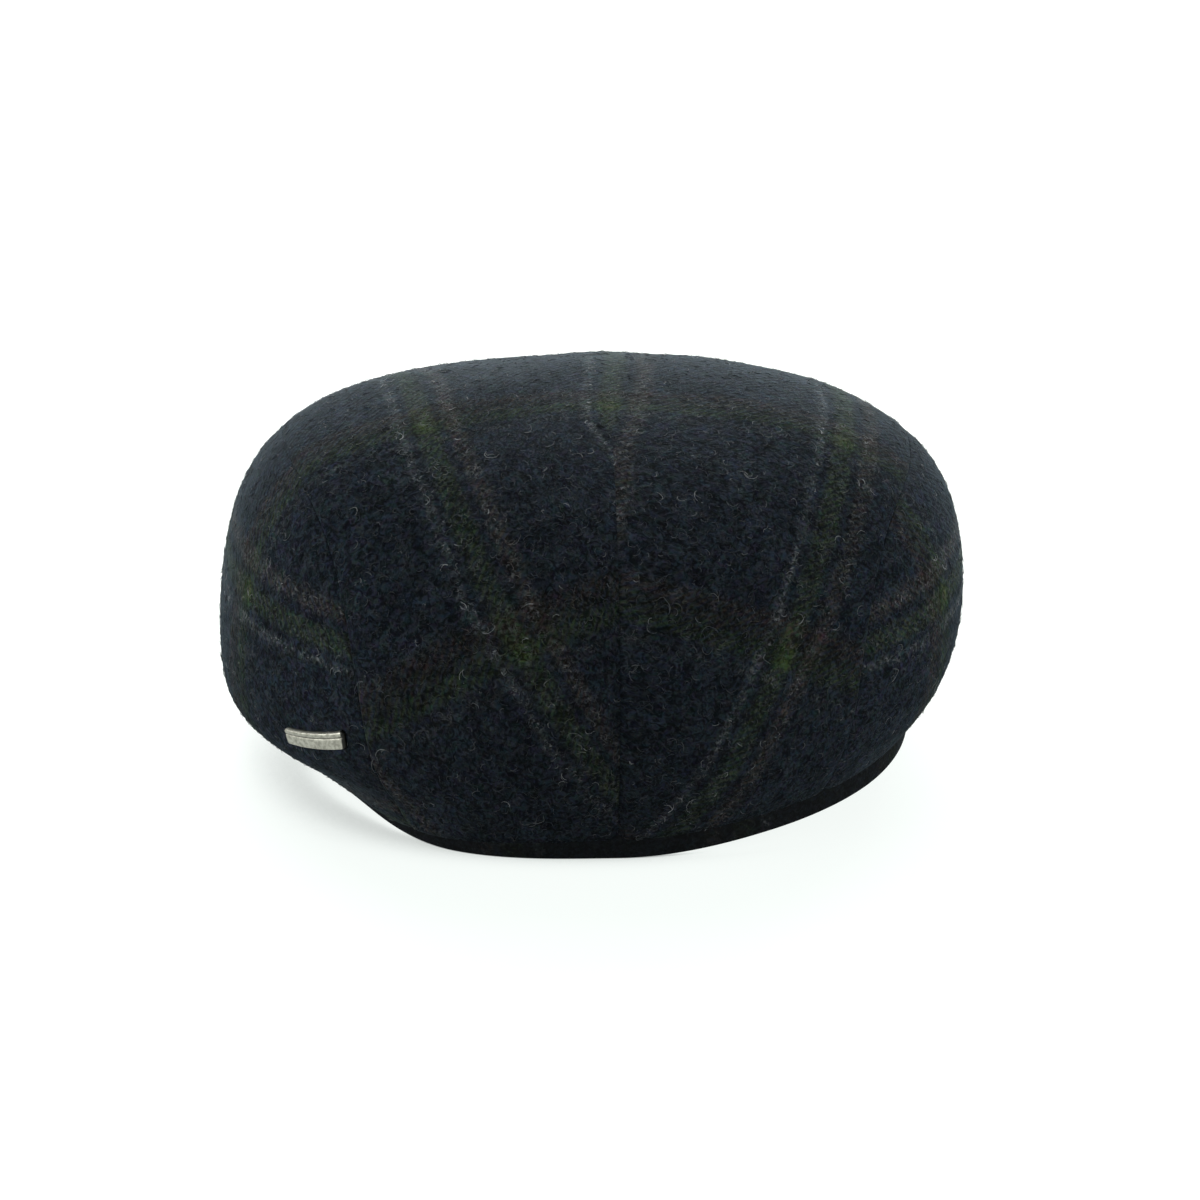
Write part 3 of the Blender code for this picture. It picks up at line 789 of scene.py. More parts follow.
peak_index = np.arange(peak_grid[..., 0].size).reshape(peak_grid.shape[:2])
next_index = np.roll(peak_index, -1, axis=0)
peak_faces = [[int(k) for k in (here[j], here[j + 1], below[j + 1], below[j])]
              for here, below in zip(peak_index, next_index) for j in range(PEAK_COLUMNS)]
peak_faces.append([int(k) for k in peak_index[:, 0]])
peak_faces.append([int(k) for k in peak_index[::-1, -1]])
peak_cloth = add_piece("peak_cloth", peak_grid.reshape(-1, 3), peak_faces)
give_places(peak_cloth, "cloth", peak_flat.reshape(-1, 2))

# %% [markdown]
# ## The metal plate
# A small bar of pewter, bent to the left side panel, with a half-round roll along its upper side and
# rounded corners. Its face is left bare. It could be a bar that a modifier bends; here it is a height
# over the panel's own surface, so that its back lies on the cloth, with a roll, a groove and edges
# that fall away.

# %% The plate's sizes and the height of its face
PLATE_LENGTH = 0.0245
PLATE_WIDTH = 0.0056
PLATE_ANGLE = 49.8             # where its middle lies on the crown
PLATE_SHARE = 0.208
PLATE_RISE = 0.0027            # its end towards the back lies this much higher than the other
PLATE_BOW = 0.0006             # its middle hangs this far below its ends
PLATE_EDGE = 0.0005            # how far in the rounded edge reaches
PLATE_CORNER = 0.0009          # how far its corners are cut back, and how sharply
PLATE_CORNER_POWER = 9
PLATE_ROLL = 0.0018            # width of the half-round roll along the upper side
PLATE_GROOVE = 0.0002
PLATE_HEIGHT = 0.0014
EDGE_PART = 0.35               # the plate's sharp edge, as a part of that height
ROLL_FOOT_PART = 0.30          # and above the edge the roll's foot,
ROLL_PART = 0.35               # the roll over its foot,
FACE_PART = 0.55               # the bare face,
GROOVE_PART = 0.25             # and how far the groove dips below the face
PLATE_COLUMNS = 90
PLATE_ROWS = 44


def plate_height(x, y):
    """Height of the plate's face: x along it and y up it, from its middle."""
    to_edge = np.minimum(PLATE_LENGTH / 2 - np.abs(x), PLATE_WIDTH / 2 - np.abs(y))
    rounded = np.sqrt(np.clip(1 - (1 - np.clip(to_edge / PLATE_EDGE, 0, 1)) ** 2, 0, 1))
    from_groove = y - (PLATE_WIDTH / 2 - PLATE_ROLL)
    roll = np.sqrt(np.clip(1 - (2 * from_groove / PLATE_ROLL - 1) ** 2, 0, 1))
    face = FACE_PART - GROOVE_PART * np.exp(-np.maximum(-from_groove, 0) / PLATE_GROOVE)
    above_edge = np.where(from_groove > 0, ROLL_FOOT_PART + ROLL_PART * roll, face)
    return PLATE_HEIGHT * (EDGE_PART + rounded * above_edge)


print("the plate's face is", in_mm([plate_height(0.0, 0.0)]), "mm over the cloth in its middle")

# %% Shape the plate


def add_plate():
    """The plate as a closed shell: its face, its back on the cloth, and a wall between them."""
    nudge_share = 0.01
    middle = crown_surface(PLATE_ANGLE, PLATE_SHARE)
    per_degree = np.linalg.norm(crown_surface(PLATE_ANGLE + 1, PLATE_SHARE) - middle)
    per_share = np.linalg.norm(crown_surface(PLATE_ANGLE, PLATE_SHARE + nudge_share) - middle) / nudge_share
    forward = PLATE_LENGTH / 2 * np.sin(np.linspace(-np.pi / 2, np.pi / 2, PLATE_COLUMNS + 1))
    upward = PLATE_WIDTH / 2 * np.sin(np.linspace(-np.pi / 2, np.pi / 2, PLATE_ROWS + 1))[:, None]
    to_end = 2 * forward / PLATE_LENGTH
    to_side = np.clip((np.abs(upward) - PLATE_WIDTH / 2) / PLATE_CORNER + 1, 0, 1)
    bowed = upward - forward * PLATE_RISE / PLATE_LENGTH - PLATE_BOW * (1 - to_end ** 2)
    share = PLATE_SHARE + bowed / per_share
    cut_back = PLATE_CORNER * to_side ** 2 * np.sign(to_end) * np.abs(to_end) ** PLATE_CORNER_POWER
    rounded = forward - cut_back
    angles = PLATE_ANGLE + rounded / per_degree
    normal = crown_normal(angles, share)
    back = crown_surface(angles, share)
    front = back + plate_height(forward, upward)[..., None] * normal
    count = front[..., 0].size
    index = np.arange(count).reshape(share.shape)
    faces = []
    for i in range(PLATE_ROWS):
        for j in range(PLATE_COLUMNS):
            face = (index[i, j], index[i + 1, j], index[i + 1, j + 1], index[i, j + 1])
            faces.append([int(k) for k in face])
            faces.append([int(k) + count for k in reversed(face)])
    rim = [*index[0], *index[1:, -1], *index[-1, -2::-1], *index[-2:0:-1, 0]]
    for a, b in zip(rim, rim[1:] + rim[:1]):
        faces.append([int(a), int(b), int(b) + count, int(a) + count])
    plate = add_piece("pewter_plate", np.concatenate([front.reshape(-1, 3), back.reshape(-1, 3)]), faces)
    along, across = np.broadcast_arrays(forward, upward)
    give_places(plate, "plate", np.tile(np.stack([along.ravel(), across.ravel()], axis=1), (2, 1)))
    return plate


plate = add_plate()
plate_lowest = min(vertex.co.z for vertex in plate.data.vertices)
print("the plate's lowest point is", in_mm([plate_lowest]), "mm up")

# %% [markdown]
# ## The tartan
# A tartan is one row of stripes, the sett, that repeats along the warp and again along the weft. Here
# it is a broad navy ground with a thin grey line, a green stripe and a brown one; in the weft the green
# and the brown meet. The cloth is a 2/2 twill: in every other step of a fine diagonal the warp lies on
# top, and between them the weft. Where two green stripes cross, both yarns are green and the square is
# brighter. One group holds the stripes, so that the cloth and its loose fibres read the same ones.

# %% Shader helpers


def feed(tree, node, terms):
    """Links sockets to a node's inputs in order and sets the rest from plain values."""
    for socket, term in zip([s for s in node.inputs if s.enabled], terms):
        if isinstance(term, bpy.types.NodeSocket):
            tree.links.new(term, socket)
        elif term is not None:
            socket.default_value = term


def number(tree, operation, *terms, clamp=False):
    """The result of a sum on sockets and plain numbers."""
    node = add_node(tree, "ShaderNodeMath", operation=operation, use_clamp=clamp)
    feed(tree, node, terms)
    return node.outputs[0]


def ramp_between(tree, value, low, high, to_low=0.0, to_high=1.0):
    """A smooth step of a value from low to high."""
    node = add_node(tree, "ShaderNodeMapRange", interpolation_type="SMOOTHSTEP")
    feed(tree, node, (value, low, high, to_low, to_high))
    return node.outputs["Result"]


def mix_colour(tree, share, first, second, blend="MIX"):
    """Blends a share of the second colour into the first."""
    node = add_node(tree, "ShaderNodeMix", data_type="RGBA", blend_type=blend)
    feed(tree, node, (share, first, second))
    return enabled_output(node)


def moved_by(tree, place, shift):
    """A place, or any three values, with a shift added."""
    node = add_node(tree, "ShaderNodeVectorMath", operation="ADD")
    feed(tree, node, (place, shift))
    return node.outputs["Vector"]


def grain(tree, place, size, detail=2.0, roughness=0.5, distortion=0.0, output="Fac", away=None):
    """Noise whose lumps are about 'size' metres across; 'away' reads it somewhere else."""
    if away:
        place = moved_by(tree, place, (*away, 0))
    node = add_node(tree, "ShaderNodeTexNoise", Scale=1 / size, Detail=detail, Roughness=roughness,
                    Distortion=distortion)
    tree.links.new(place, node.inputs["Vector"])
    return node.outputs[output]


def multiplied(tree, colour, factor):
    """A colour times a number or another colour."""
    return mix_colour(tree, 1.0, colour, factor, blend="MULTIPLY")


# %% Shader groups


def start_group(name, inputs, outputs):
    """A shader node group with its named inputs (kind and default) and outputs (kind)."""
    tree = bpy.data.node_groups.new(name, "ShaderNodeTree")
    for label, kind, value in inputs:
        socket = tree.interface.new_socket(label, in_out="INPUT", socket_type=kind)
        if value is not None:
            socket.default_value = value
    for label, kind in outputs:
        tree.interface.new_socket(label, in_out="OUTPUT", socket_type=kind)
    return tree, tree.nodes.new("NodeGroupInput"), tree.nodes.new("NodeGroupOutput")


def use_group(tree, group, **values):
    """Places a group in a tree and links or sets its inputs by name."""
    node = tree.nodes.new("ShaderNodeGroup")
    node.node_tree = group
    for key, value in values.items():
        socket = node.inputs[key.replace("_", " ")]
        if isinstance(value, bpy.types.NodeSocket):
            tree.links.new(value, socket)
        else:
            socket.default_value = value
    return node


# %% The sett: stripes across one repeat
WARP_REPEAT = 0.0665
WEFT_REPEAT = 0.0820
GROUND = (0.0108, 0.0146, 0.0200)
GROUND_PALE = 0.10             # share of pale fibres in the ground
STRIPES = (                    # centre, half width and soft edge in millimetres, colour, pale fibres
    (-7.2, 1.4, 1.3, (0.0200, 0.0240, 0.0265), 1.0),
    (0.0, 3.8, 1.5, (0.0182, 0.0270, 0.0130), 0.36),
    (8.4, 2.8, 1.6, (0.0212, 0.0168, 0.0138), 0.60))
GREEN_EDGE = (0.0055, 0.0010)  # the green stripe's mask rises from 0 to 1 between these distances
FILLING = (0.0160, 0.0165, 0.0115, 1)  # in the weft, green and brown meet with no ground between them
FILLING_AT = 0.0046            # the middle of what is filled, and the distances where its mask rises
FILLING_EDGE = (0.0030, 0.0014)
CROSSED = (1.45, 1.50, 1.10, 1)  # green on green is this much brighter, as no navy yarn lies between
RAMP_SPAN = 0.100              # the colour ramp covers this many metres, centred on the green stripe

sett, sett_in, sett_out = start_group(
    "sett",
    (("Place", "NodeSocketFloat", 0.0),
     ("Repeat", "NodeSocketFloat", WARP_REPEAT),
     ("Fill", "NodeSocketFloat", 0.0)),          # 1 fills the ground between green and brown
    (("Color", "NodeSocketColor"), ("Pale", "NodeSocketFloat"), ("Green", "NodeSocketFloat")))
repeats = number(sett, "DIVIDE", sett_in.outputs["Place"], sett_in.outputs["Repeat"])
from_green = number(sett, "SUBTRACT", number(sett, "FRACT", number(sett, "ADD", repeats, 0.5)), 0.5)
in_metres = number(sett, "MULTIPLY", from_green, sett_in.outputs["Repeat"])
stripes = sett.nodes.new("ShaderNodeValToRGB")
ramp = stripes.color_ramp
ground = (*GROUND, GROUND_PALE)
ramp.elements[0].color = ramp.elements[1].color = ground
for centre, half, soft, colour, pale in STRIPES:
    stripe = (*colour, pale)
    for place_mm, tone in ((centre - half - soft, ground), (centre - half + soft, stripe),
                           (centre + half - soft, stripe), (centre + half + soft, ground)):
        ramp.elements.new(0.5 + place_mm * MM / RAMP_SPAN).color = tone
from_filling = number(sett, "ABSOLUTE", number(sett, "SUBTRACT", in_metres, FILLING_AT))
filled = number(sett, "MULTIPLY", ramp_between(sett, from_filling, *FILLING_EDGE), sett_in.outputs["Fill"])
join(sett,
     (number(sett, "MULTIPLY_ADD", in_metres, 1 / RAMP_SPAN, 0.5), stripes.inputs["Fac"]),
     (ramp_between(sett, number(sett, "ABSOLUTE", in_metres), *GREEN_EDGE), sett_out.inputs["Green"]),
     (mix_colour(sett, filled, stripes.outputs["Color"], FILLING), sett_out.inputs["Color"]),
     (stripes.outputs["Alpha"], sett_out.inputs["Pale"]))
print("the sett's ramp has", len(ramp.elements), "stops")

# %% [markdown]
# ## Napped wool
# The yarn is a mix of fibres of several shades, and the finished cloth is brushed, so its twill shows
# only faintly through a fine fur. Pale curly fibres lie over it, most of them along the grey lines.
# The cloth could be woven thread by thread, but the fur hides its threads, so the twill and the felt
# are patterns on the flat cloth, and only the loose fibres are modelled.

# %% Helpers for yarns and fibres
LINE_WARP = 1.3                # how strongly a curly line is warped
LINE_CORE = 0.3                # the share of its thickness that is fully pale
PATCH_SIZE = 0.7               # patches measure this share of the lines' size
PATCH_EDGE = (-0.04, 0.06)     # how soft a patch's edge is, below and above its cover


def brighter_crossings(tree, yarns, warp, weft):
    """Brightens the squares where two green stripes cross."""
    crossing = number(tree, "MULTIPLY", warp.outputs["Green"], weft.outputs["Green"])
    return mix_colour(tree, crossing, yarns, CROSSED, blend="MULTIPLY")


def curly_lines(tree, place, size, thickness, cover):
    """Broken curling lines: where warped noise is near its middle, kept in patches."""
    field = grain(tree, place, size, detail=1, distortion=LINE_WARP)
    off_middle = number(tree, "ABSOLUTE", number(tree, "SUBTRACT", field, 0.5))
    line = ramp_between(tree, off_middle, LINE_CORE * thickness, thickness, 1.0, 0.0)
    patches = grain(tree, place, PATCH_SIZE * size, detail=1, away=(0.31, 0.17))
    patch = ramp_between(tree, patches, *(cover + edge for edge in PATCH_EDGE))
    return number(tree, "MULTIPLY", line, patch)


# %% Napped twill: where the stripes lie on the flat cloth
STRAYS = ((0.0080, 0.0018), (0.0013, 0.0012))  # size of the waves in the stripes' edges, and their reach
WEAVE_INPUTS = (
    ("Place", "NodeSocketVector", None),
    ("Warp Repeat", "NodeSocketFloat", WARP_REPEAT),
    ("Weft Repeat", "NodeSocketFloat", WEFT_REPEAT),
    ("Twill Step", "NodeSocketFloat", 0.0027),
    ("Contrast", "NodeSocketFloat", 0.55),
    ("Warp Share", "NodeSocketFloat", 0.53))
weave, weave_in, weave_out = start_group(
    "napped twill", WEAVE_INPUTS, (("Color", "NodeSocketColor"), ("Height", "NodeSocketFloat")))
flat_place = weave_in.outputs["Place"]
strayed = flat_place
for wave_size, reach in STRAYS:
    stray = add_node(weave, "ShaderNodeVectorMath", operation="MULTIPLY_ADD")
    waves = grain(weave, flat_place, wave_size, detail=2, output="Color")
    feed(weave, stray, (moved_by(weave, waves, (-0.5, -0.5, -0.5)), (reach, reach, 0), strayed))
    strayed = stray.outputs["Vector"]
split = weave.nodes.new("ShaderNodeSeparateXYZ")
weave.links.new(strayed, split.inputs["Vector"])
warp = use_group(weave, sett, Place=split.outputs["X"], Repeat=weave_in.outputs["Warp Repeat"])
weft = use_group(weave, sett, Place=split.outputs["Y"], Repeat=weave_in.outputs["Weft Repeat"], Fill=1.0)
print("the warp and the weft repeat every", in_mm([WARP_REPEAT, WEFT_REPEAT]), "mm")

# %% Napped twill: which yarn lies on top
YARN_SIZE = 0.0016             # size of the yarns' unevenness
WARP_STEPS = (0.25, 0.75)      # the warp comes up between these heights of the twill's ridge
WEFT_PALE = 0.4                # the weft's stripes carry fewer pale fibres than the warp's
WEFT_PALE_FULL = 0.35          # from this share of pale fibres a weft stripe is at its darkest
WEFT_SHADE = 0.86              # the weft's stripes are this much darker, as few pale fibres lie on them

diagonal = number(weave, "SUBTRACT", split.outputs["X"], split.outputs["Y"])
step_place = number(weave, "FRACT", number(weave, "DIVIDE", diagonal, weave_in.outputs["Twill Step"]))
ridge = number(weave, "ABSOLUTE", number(weave, "MULTIPLY_ADD", step_place, 2.0, -1.0))
yarn_noise = grain(weave, flat_place, YARN_SIZE, detail=1)
rough_ridge = number(weave, "ADD", ridge, number(weave, "SUBTRACT", yarn_noise, 0.5))
warp_up = ramp_between(weave, rough_ridge, *WARP_STEPS)
warp_share = number(weave, "MULTIPLY_ADD", number(weave, "SUBTRACT", warp_up, 0.5),
                    weave_in.outputs["Contrast"], weave_in.outputs["Warp Share"], clamp=True)
weft_shade = ramp_between(weave, weft.outputs["Pale"], GROUND_PALE, WEFT_PALE_FULL, 1.0, WEFT_SHADE)
weft_colour = multiplied(weave, weft.outputs["Color"], weft_shade)
yarns = mix_colour(weave, warp_share, weft_colour, warp.outputs["Color"])
pale_mix = add_node(weave, "ShaderNodeMix", data_type="FLOAT")
weft_pale = number(weave, "MULTIPLY", weft.outputs["Pale"], WEFT_PALE)
feed(weave, pale_mix, (warp_share, weft_pale, warp.outputs["Pale"]))
pale_share = enabled_output(pale_mix)
print("napped twill so far has", len(weave.nodes), "nodes")

# %% Napped twill: light and dark felt, and several dyes
HAZE = (0.0300, 0.0380, 0.0430, 1)      # colour of pale fibres too fine to see
HAZE_SHARE = 0.30                       # and how far they lighten the warp's stripes
FELT_SIZE = 0.0020
FELT_STEPS = (0.36, 0.68, 0.38, 1.66)   # from and to this much noise, from and to this brightness
CLOUD_SIZE = 0.0070
CLOUD_STEPS = (0.30, 0.70, 0.78, 1.28)  # the same for wider clouds
DYE_SIZE = 0.0024
DYE_GAIN = (1.3, 1.0, 1.2)              # how far each colour is spread by the mix of dyes
DYE_BASE = (0.35, 0.50, 0.40)
BLUE_SIZE = 0.0030
BLUE_STEPS = (0.55, 0.75, 0.0, 0.4)     # from and to this much noise, from and to this much blue
BLUE_TUFT = (0.0150, 0.0215, 0.0300, 1)

haze_share = number(weave, "MULTIPLY", warp.outputs["Pale"], HAZE_SHARE)
hazy = mix_colour(weave, haze_share, brighter_crossings(weave, yarns, warp, weft), HAZE)
felt = grain(weave, flat_place, FELT_SIZE, detail=2, roughness=0.55, distortion=1.6)
cloud = grain(weave, flat_place, CLOUD_SIZE, detail=2)
brightness = number(weave, "MULTIPLY", ramp_between(weave, felt, *FELT_STEPS),
                    ramp_between(weave, cloud, *CLOUD_STEPS))
tinted = multiplied(weave, hazy, brightness)
dyes = grain(weave, flat_place, DYE_SIZE, detail=3, distortion=1.2, output="Color", away=(0.4, 0.6))
dye_tint = add_node(weave, "ShaderNodeVectorMath", operation="MULTIPLY_ADD")
feed(weave, dye_tint, (dyes, DYE_GAIN, DYE_BASE))
tinted = multiplied(weave, tinted, dye_tint.outputs["Vector"])
blue_noise = grain(weave, flat_place, BLUE_SIZE, detail=2, distortion=0.8, away=(0.7, 0.2))
tinted = mix_colour(weave, ramp_between(weave, blue_noise, *BLUE_STEPS), tinted, BLUE_TUFT)
print("felt tufts of about", in_mm([FELT_SIZE]), "mm")

# %% Napped twill: pale fibres pressed into the felt
PALE_LINE = (0.190, 0.205, 0.215, 1)
FINE_LINES = (0.0019, 0.055, 0.50)      # size, thickness as a share of the noise, and cover
WIDE_LINES = (0.0031, 0.050, 0.50)
WIDE_LINES_SHARE = 0.7
CLUSTER_SIZE = 0.0045
CLUSTER_STEPS = (0.36, 0.68, 0.15, 1.0)

fine_lines = curly_lines(weave, flat_place, *FINE_LINES)
wide_lines = curly_lines(weave, moved_by(weave, flat_place, (1.3, 0.9, 0)), *WIDE_LINES)
lines = number(weave, "MAXIMUM", fine_lines, number(weave, "MULTIPLY", WIDE_LINES_SHARE, wide_lines))
cluster_noise = grain(weave, flat_place, CLUSTER_SIZE, detail=2, away=(0.1, 0.5))
clustered = number(weave, "MULTIPLY", lines, ramp_between(weave, cluster_noise, *CLUSTER_STEPS))
line_share = number(weave, "MULTIPLY", clustered, pale_share, clamp=True)
weave.links.new(mix_colour(weave, line_share, tinted, PALE_LINE), weave_out.inputs["Color"])
print("napped twill so far has", len(weave.nodes), "nodes, with its pale fibres")

# %% Napped twill: relief
TWILL_RELIEF = 0.00008         # how high the ridges, the nap and the pale lines stand
NAP_RELIEF = 0.00024
LINE_RELIEF = 0.00010

nap = grain(weave, flat_place, FELT_SIZE, detail=2, roughness=0.5, distortion=1.0)
height = number(weave, "MULTIPLY_ADD", nap, NAP_RELIEF, number(weave, "MULTIPLY", ridge, TWILL_RELIEF))
height = number(weave, "MULTIPLY_ADD", lines, LINE_RELIEF, height)
weave.links.new(height, weave_out.inputs["Height"])
print("napped twill has", len(weave.nodes), "nodes")

# %% A wool material for each way a piece is cut from the cloth


def new_material(name):
    """A material, its node tree and its main shader."""
    material = bpy.data.materials.new(name)
    material.use_nodes = True
    tree = material.node_tree
    return material, tree, tree.nodes["Principled BSDF"]


CREASE_SHADE = 0.30            # painted shade: the cloth keeps this share of its brightness where the seam and hem shade is deepest
# painted shade: the near-black plain tone that the rim band's cloth is mixed towards
SHADED_PLAIN_WOOL = (0.0105, 0.0112, 0.0110, 1)
RELIEF_STRENGTH = 0.85


def with_painted_shade(tree, colour, shade=1.0):
    """Multiplies a colour by a shade, and darkens it further by the painted shade stored in the seams'
    grooves and along the hem.
    """
    crease = add_node(tree, "ShaderNodeAttribute", attribute_name="crease")
    kept = ramp_between(tree, crease.outputs["Fac"], 0.0, 1.0, shade, shade * CREASE_SHADE)
    return multiplied(tree, colour, kept)


def lay_on_stripes(tree, place, turn, shift):
    """Turns and shifts a place on a pattern piece to its place on the cloth's stripes."""
    lay = add_node(tree, "ShaderNodeMapping", Rotation=(0, 0, math.radians(turn)), Location=(*shift, 0))
    tree.links.new(place, lay.inputs["Vector"])
    return lay.outputs["Vector"]


def wool(name, turn, shift, shade=1.0, sheen=0.12, plain=0.0):
    """Tartan wool, laid on the stripes; 'shade' paints light or shade over the whole piece; 'plain' hides the
    stripes.
    """
    material, tree, shader = new_material(name)
    cut = add_node(tree, "ShaderNodeUVMap", uv_map="cloth")
    cloth = use_group(tree, weave, Place=lay_on_stripes(tree, cut.outputs["UV"], turn, shift))
    relief = add_node(tree, "ShaderNodeBump", Strength=RELIEF_STRENGTH, Distance=1.0)
    join(tree,
         (cloth.outputs["Height"], relief.inputs["Height"]),
         (relief.outputs["Normal"], shader.inputs["Normal"]))
    cloth_colour = mix_colour(tree, plain, cloth.outputs["Color"], SHADED_PLAIN_WOOL)
    # base colour with the piece's painted light or shade, and the painted shade of its seams and hem
    tree.links.new(with_painted_shade(tree, cloth_colour, shade), shader.inputs["Base Color"])
    set_inputs(shader, Roughness=0.95, Specular_IOR_Level=0.02)
    set_inputs(shader, Sheen_Weight=sheen, Sheen_Roughness=0.26, Sheen_Tint=(0.56, 0.78, 0.86, 1))
    return material


# %% Lay each piece on the stripes
LAID = {                       # turn in degrees and shift in metres of each pattern piece, and its shade: painted light makes the side panels brighter than the top
    "top": (180, (-0.0030, 0.0430), 1.0),
    "side_left": (-90, (-0.0684, -0.0465), 1.08),
    "side_right": (-90, (-0.0523, 0.0390), 1.15),
    "peak": (180, (-0.0030, -0.0300), 1.0)}
wool_top, wool_left, wool_right, wool_peak = (wool(f"tartan_{panel}", *laid) for panel, laid in LAID.items())
# painted shade: the rim band is the same cloth, drawn darker and plainer as it lies in shade under the crown
wool_rim = wool("tartan_rim", 0, (0.012, 0.020), shade=0.75, sheen=0.05, plain=0.65)
print("the cloth is laid in", len(LAID) + 1, "ways")

# %% [markdown]
# ## Pewter
# An old silvery metal, tarnished in its groove and worn bright along its edges, where a painted
# highlight is added to the wear; its end towards the back is drawn dark as painted shade. The distance
# to an edge, to the groove or to that end is known from the plate's own flat coordinates, so the masks
# are drawn from that distance.

# %% Masks on the plate: worn edges with a painted highlight, scratches, tarnish, groove and painted shade at one end
EDGE_WAVE_SIZE = 0.0006              # size of the waves in the worn and highlit edge, and their reach from side to side
EDGE_WAVE_REACH = 0.0006
WORN_HIGHLIT_STEPS = (0.00010, 0.00040, 0.7, 0.0)    # between these distances from the edge the wear and its painted highlight fade
SCRATCH_STRETCH = 0.12
SCRATCH_SIZE = 0.00018
TARNISH_SIZE = 0.0016
IN_GROOVE = (0.00008, 0.00030, 1.0, 0.0)
GROOVE_DARK = 0.7
END_SHADE_STEPS = (0.00080, 0.00120, 1.0, 0.0)     # painted shade: distances from the end towards the back, which is drawn dark

pewter, metal, metal_shader = new_material("old_pewter")
on_plate = add_node(metal, "ShaderNodeUVMap", uv_map="plate").outputs["UV"]
across = metal.nodes.new("ShaderNodeSeparateXYZ")
metal.links.new(on_plate, across.inputs["Vector"])
end_gap = number(metal, "SUBTRACT", PLATE_LENGTH / 2, number(metal, "ABSOLUTE", across.outputs["X"]))
side_gap = number(metal, "SUBTRACT", PLATE_WIDTH / 2, number(metal, "ABSOLUTE", across.outputs["Y"]))
edge_wave = number(metal, "MULTIPLY_ADD", grain(metal, on_plate, EDGE_WAVE_SIZE), EDGE_WAVE_REACH, -EDGE_WAVE_REACH / 2)
waved_edge_gap = number(metal, "ADD", number(metal, "MINIMUM", end_gap, side_gap), edge_wave)
worn_highlit_edge = ramp_between(metal, waved_edge_gap, *WORN_HIGHLIT_STEPS)
brushed = add_node(metal, "ShaderNodeMapping", Scale=(SCRATCH_STRETCH, 1, 1))
metal.links.new(on_plate, brushed.inputs["Vector"])
scratches = grain(metal, brushed.outputs["Vector"], SCRATCH_SIZE, detail=2)
tarnish = grain(metal, on_plate, TARNISH_SIZE, detail=4, roughness=0.6)
over_groove = number(metal, "SUBTRACT", across.outputs["Y"], PLATE_WIDTH / 2 - PLATE_ROLL)
groove = ramp_between(metal, number(metal, "ABSOLUTE", over_groove), *IN_GROOVE)
# painted shade on the end towards the back
end_shade = ramp_between(metal, number(metal, "ADD", across.outputs["X"], PLATE_LENGTH / 2), *END_SHADE_STEPS)
tarnish_and_end_shade = number(metal, "MAXIMUM", number(metal, "MULTIPLY", groove, GROOVE_DARK), end_shade)
print("old_pewter so far has", len(metal.nodes), "nodes")

# %% The plate's colour, shine and relief
PEWTER_DULL = (0.21, 0.205, 0.175, 1)
PEWTER_CLEAN = (0.38, 0.375, 0.32, 1)
CLEAN_STEPS = (0.35, 0.65)
# worn metal along the edges, made brighter still as a painted highlight
PEWTER_WORN_HIGHLIT = (0.66, 0.65, 0.58, 1)
# dark tone of the groove's tarnish and of the painted shade on the end towards the back
TARNISH_AND_SHADE = (0.020, 0.020, 0.018, 1)
SHINE = (0.3, 0.7, 0.50, 0.34)           # from and to this much noise, from and to this roughness
SCRATCH_RELIEF = 0.00002
GROOVE_RELIEF = -0.00008

tone = mix_colour(metal, ramp_between(metal, tarnish, *CLEAN_STEPS), PEWTER_DULL, PEWTER_CLEAN)
# wear along the edges, with a painted highlight in it
tone = mix_colour(metal, worn_highlit_edge, tone, PEWTER_WORN_HIGHLIT)
# tarnish in the groove, and painted shade on the end towards the back
tone = mix_colour(metal, tarnish_and_end_shade, tone, TARNISH_AND_SHADE)
metal_relief = add_node(metal, "ShaderNodeBump", Strength=0.5, Distance=1.0)
metal_height = number(metal, "MULTIPLY_ADD", scratches, SCRATCH_RELIEF,
                      number(metal, "MULTIPLY", groove, GROOVE_RELIEF))
join(metal,
     (tone, metal_shader.inputs["Base Color"]),
     (ramp_between(metal, tarnish, *SHINE), metal_shader.inputs["Roughness"]),
     (metal_height, metal_relief.inputs["Height"]),
     (metal_relief.outputs["Normal"], metal_shader.inputs["Normal"]))
set_inputs(metal_shader, Metallic=1.0)
print("old_pewter has", len(metal.nodes), "nodes")

# %% Put the materials on
for piece, material in ((top_cloth, wool_top), (left_cloth, wool_left), (right_cloth, wool_right),
                        (rim_cloth, wool_rim), (peak_cloth, wool_peak), (plate, pewter)):
    piece.data.materials.clear()
    piece.data.materials.append(material)
print("materials:", [material.name for material in bpy.data.materials if material.users])

# %% [markdown]
# ## Loose fibres
# Brushed wool stands off the cloth as a short fur, and some long pale fibres curl over it. Geometry
# Nodes scatter short curves over a panel's outer face and the peak's upper side, bend them with a noise
# field, taper them and give them three sides. Each fibre remembers where it stands on the flat cloth,
# so that it takes the colour of the yarn below it.

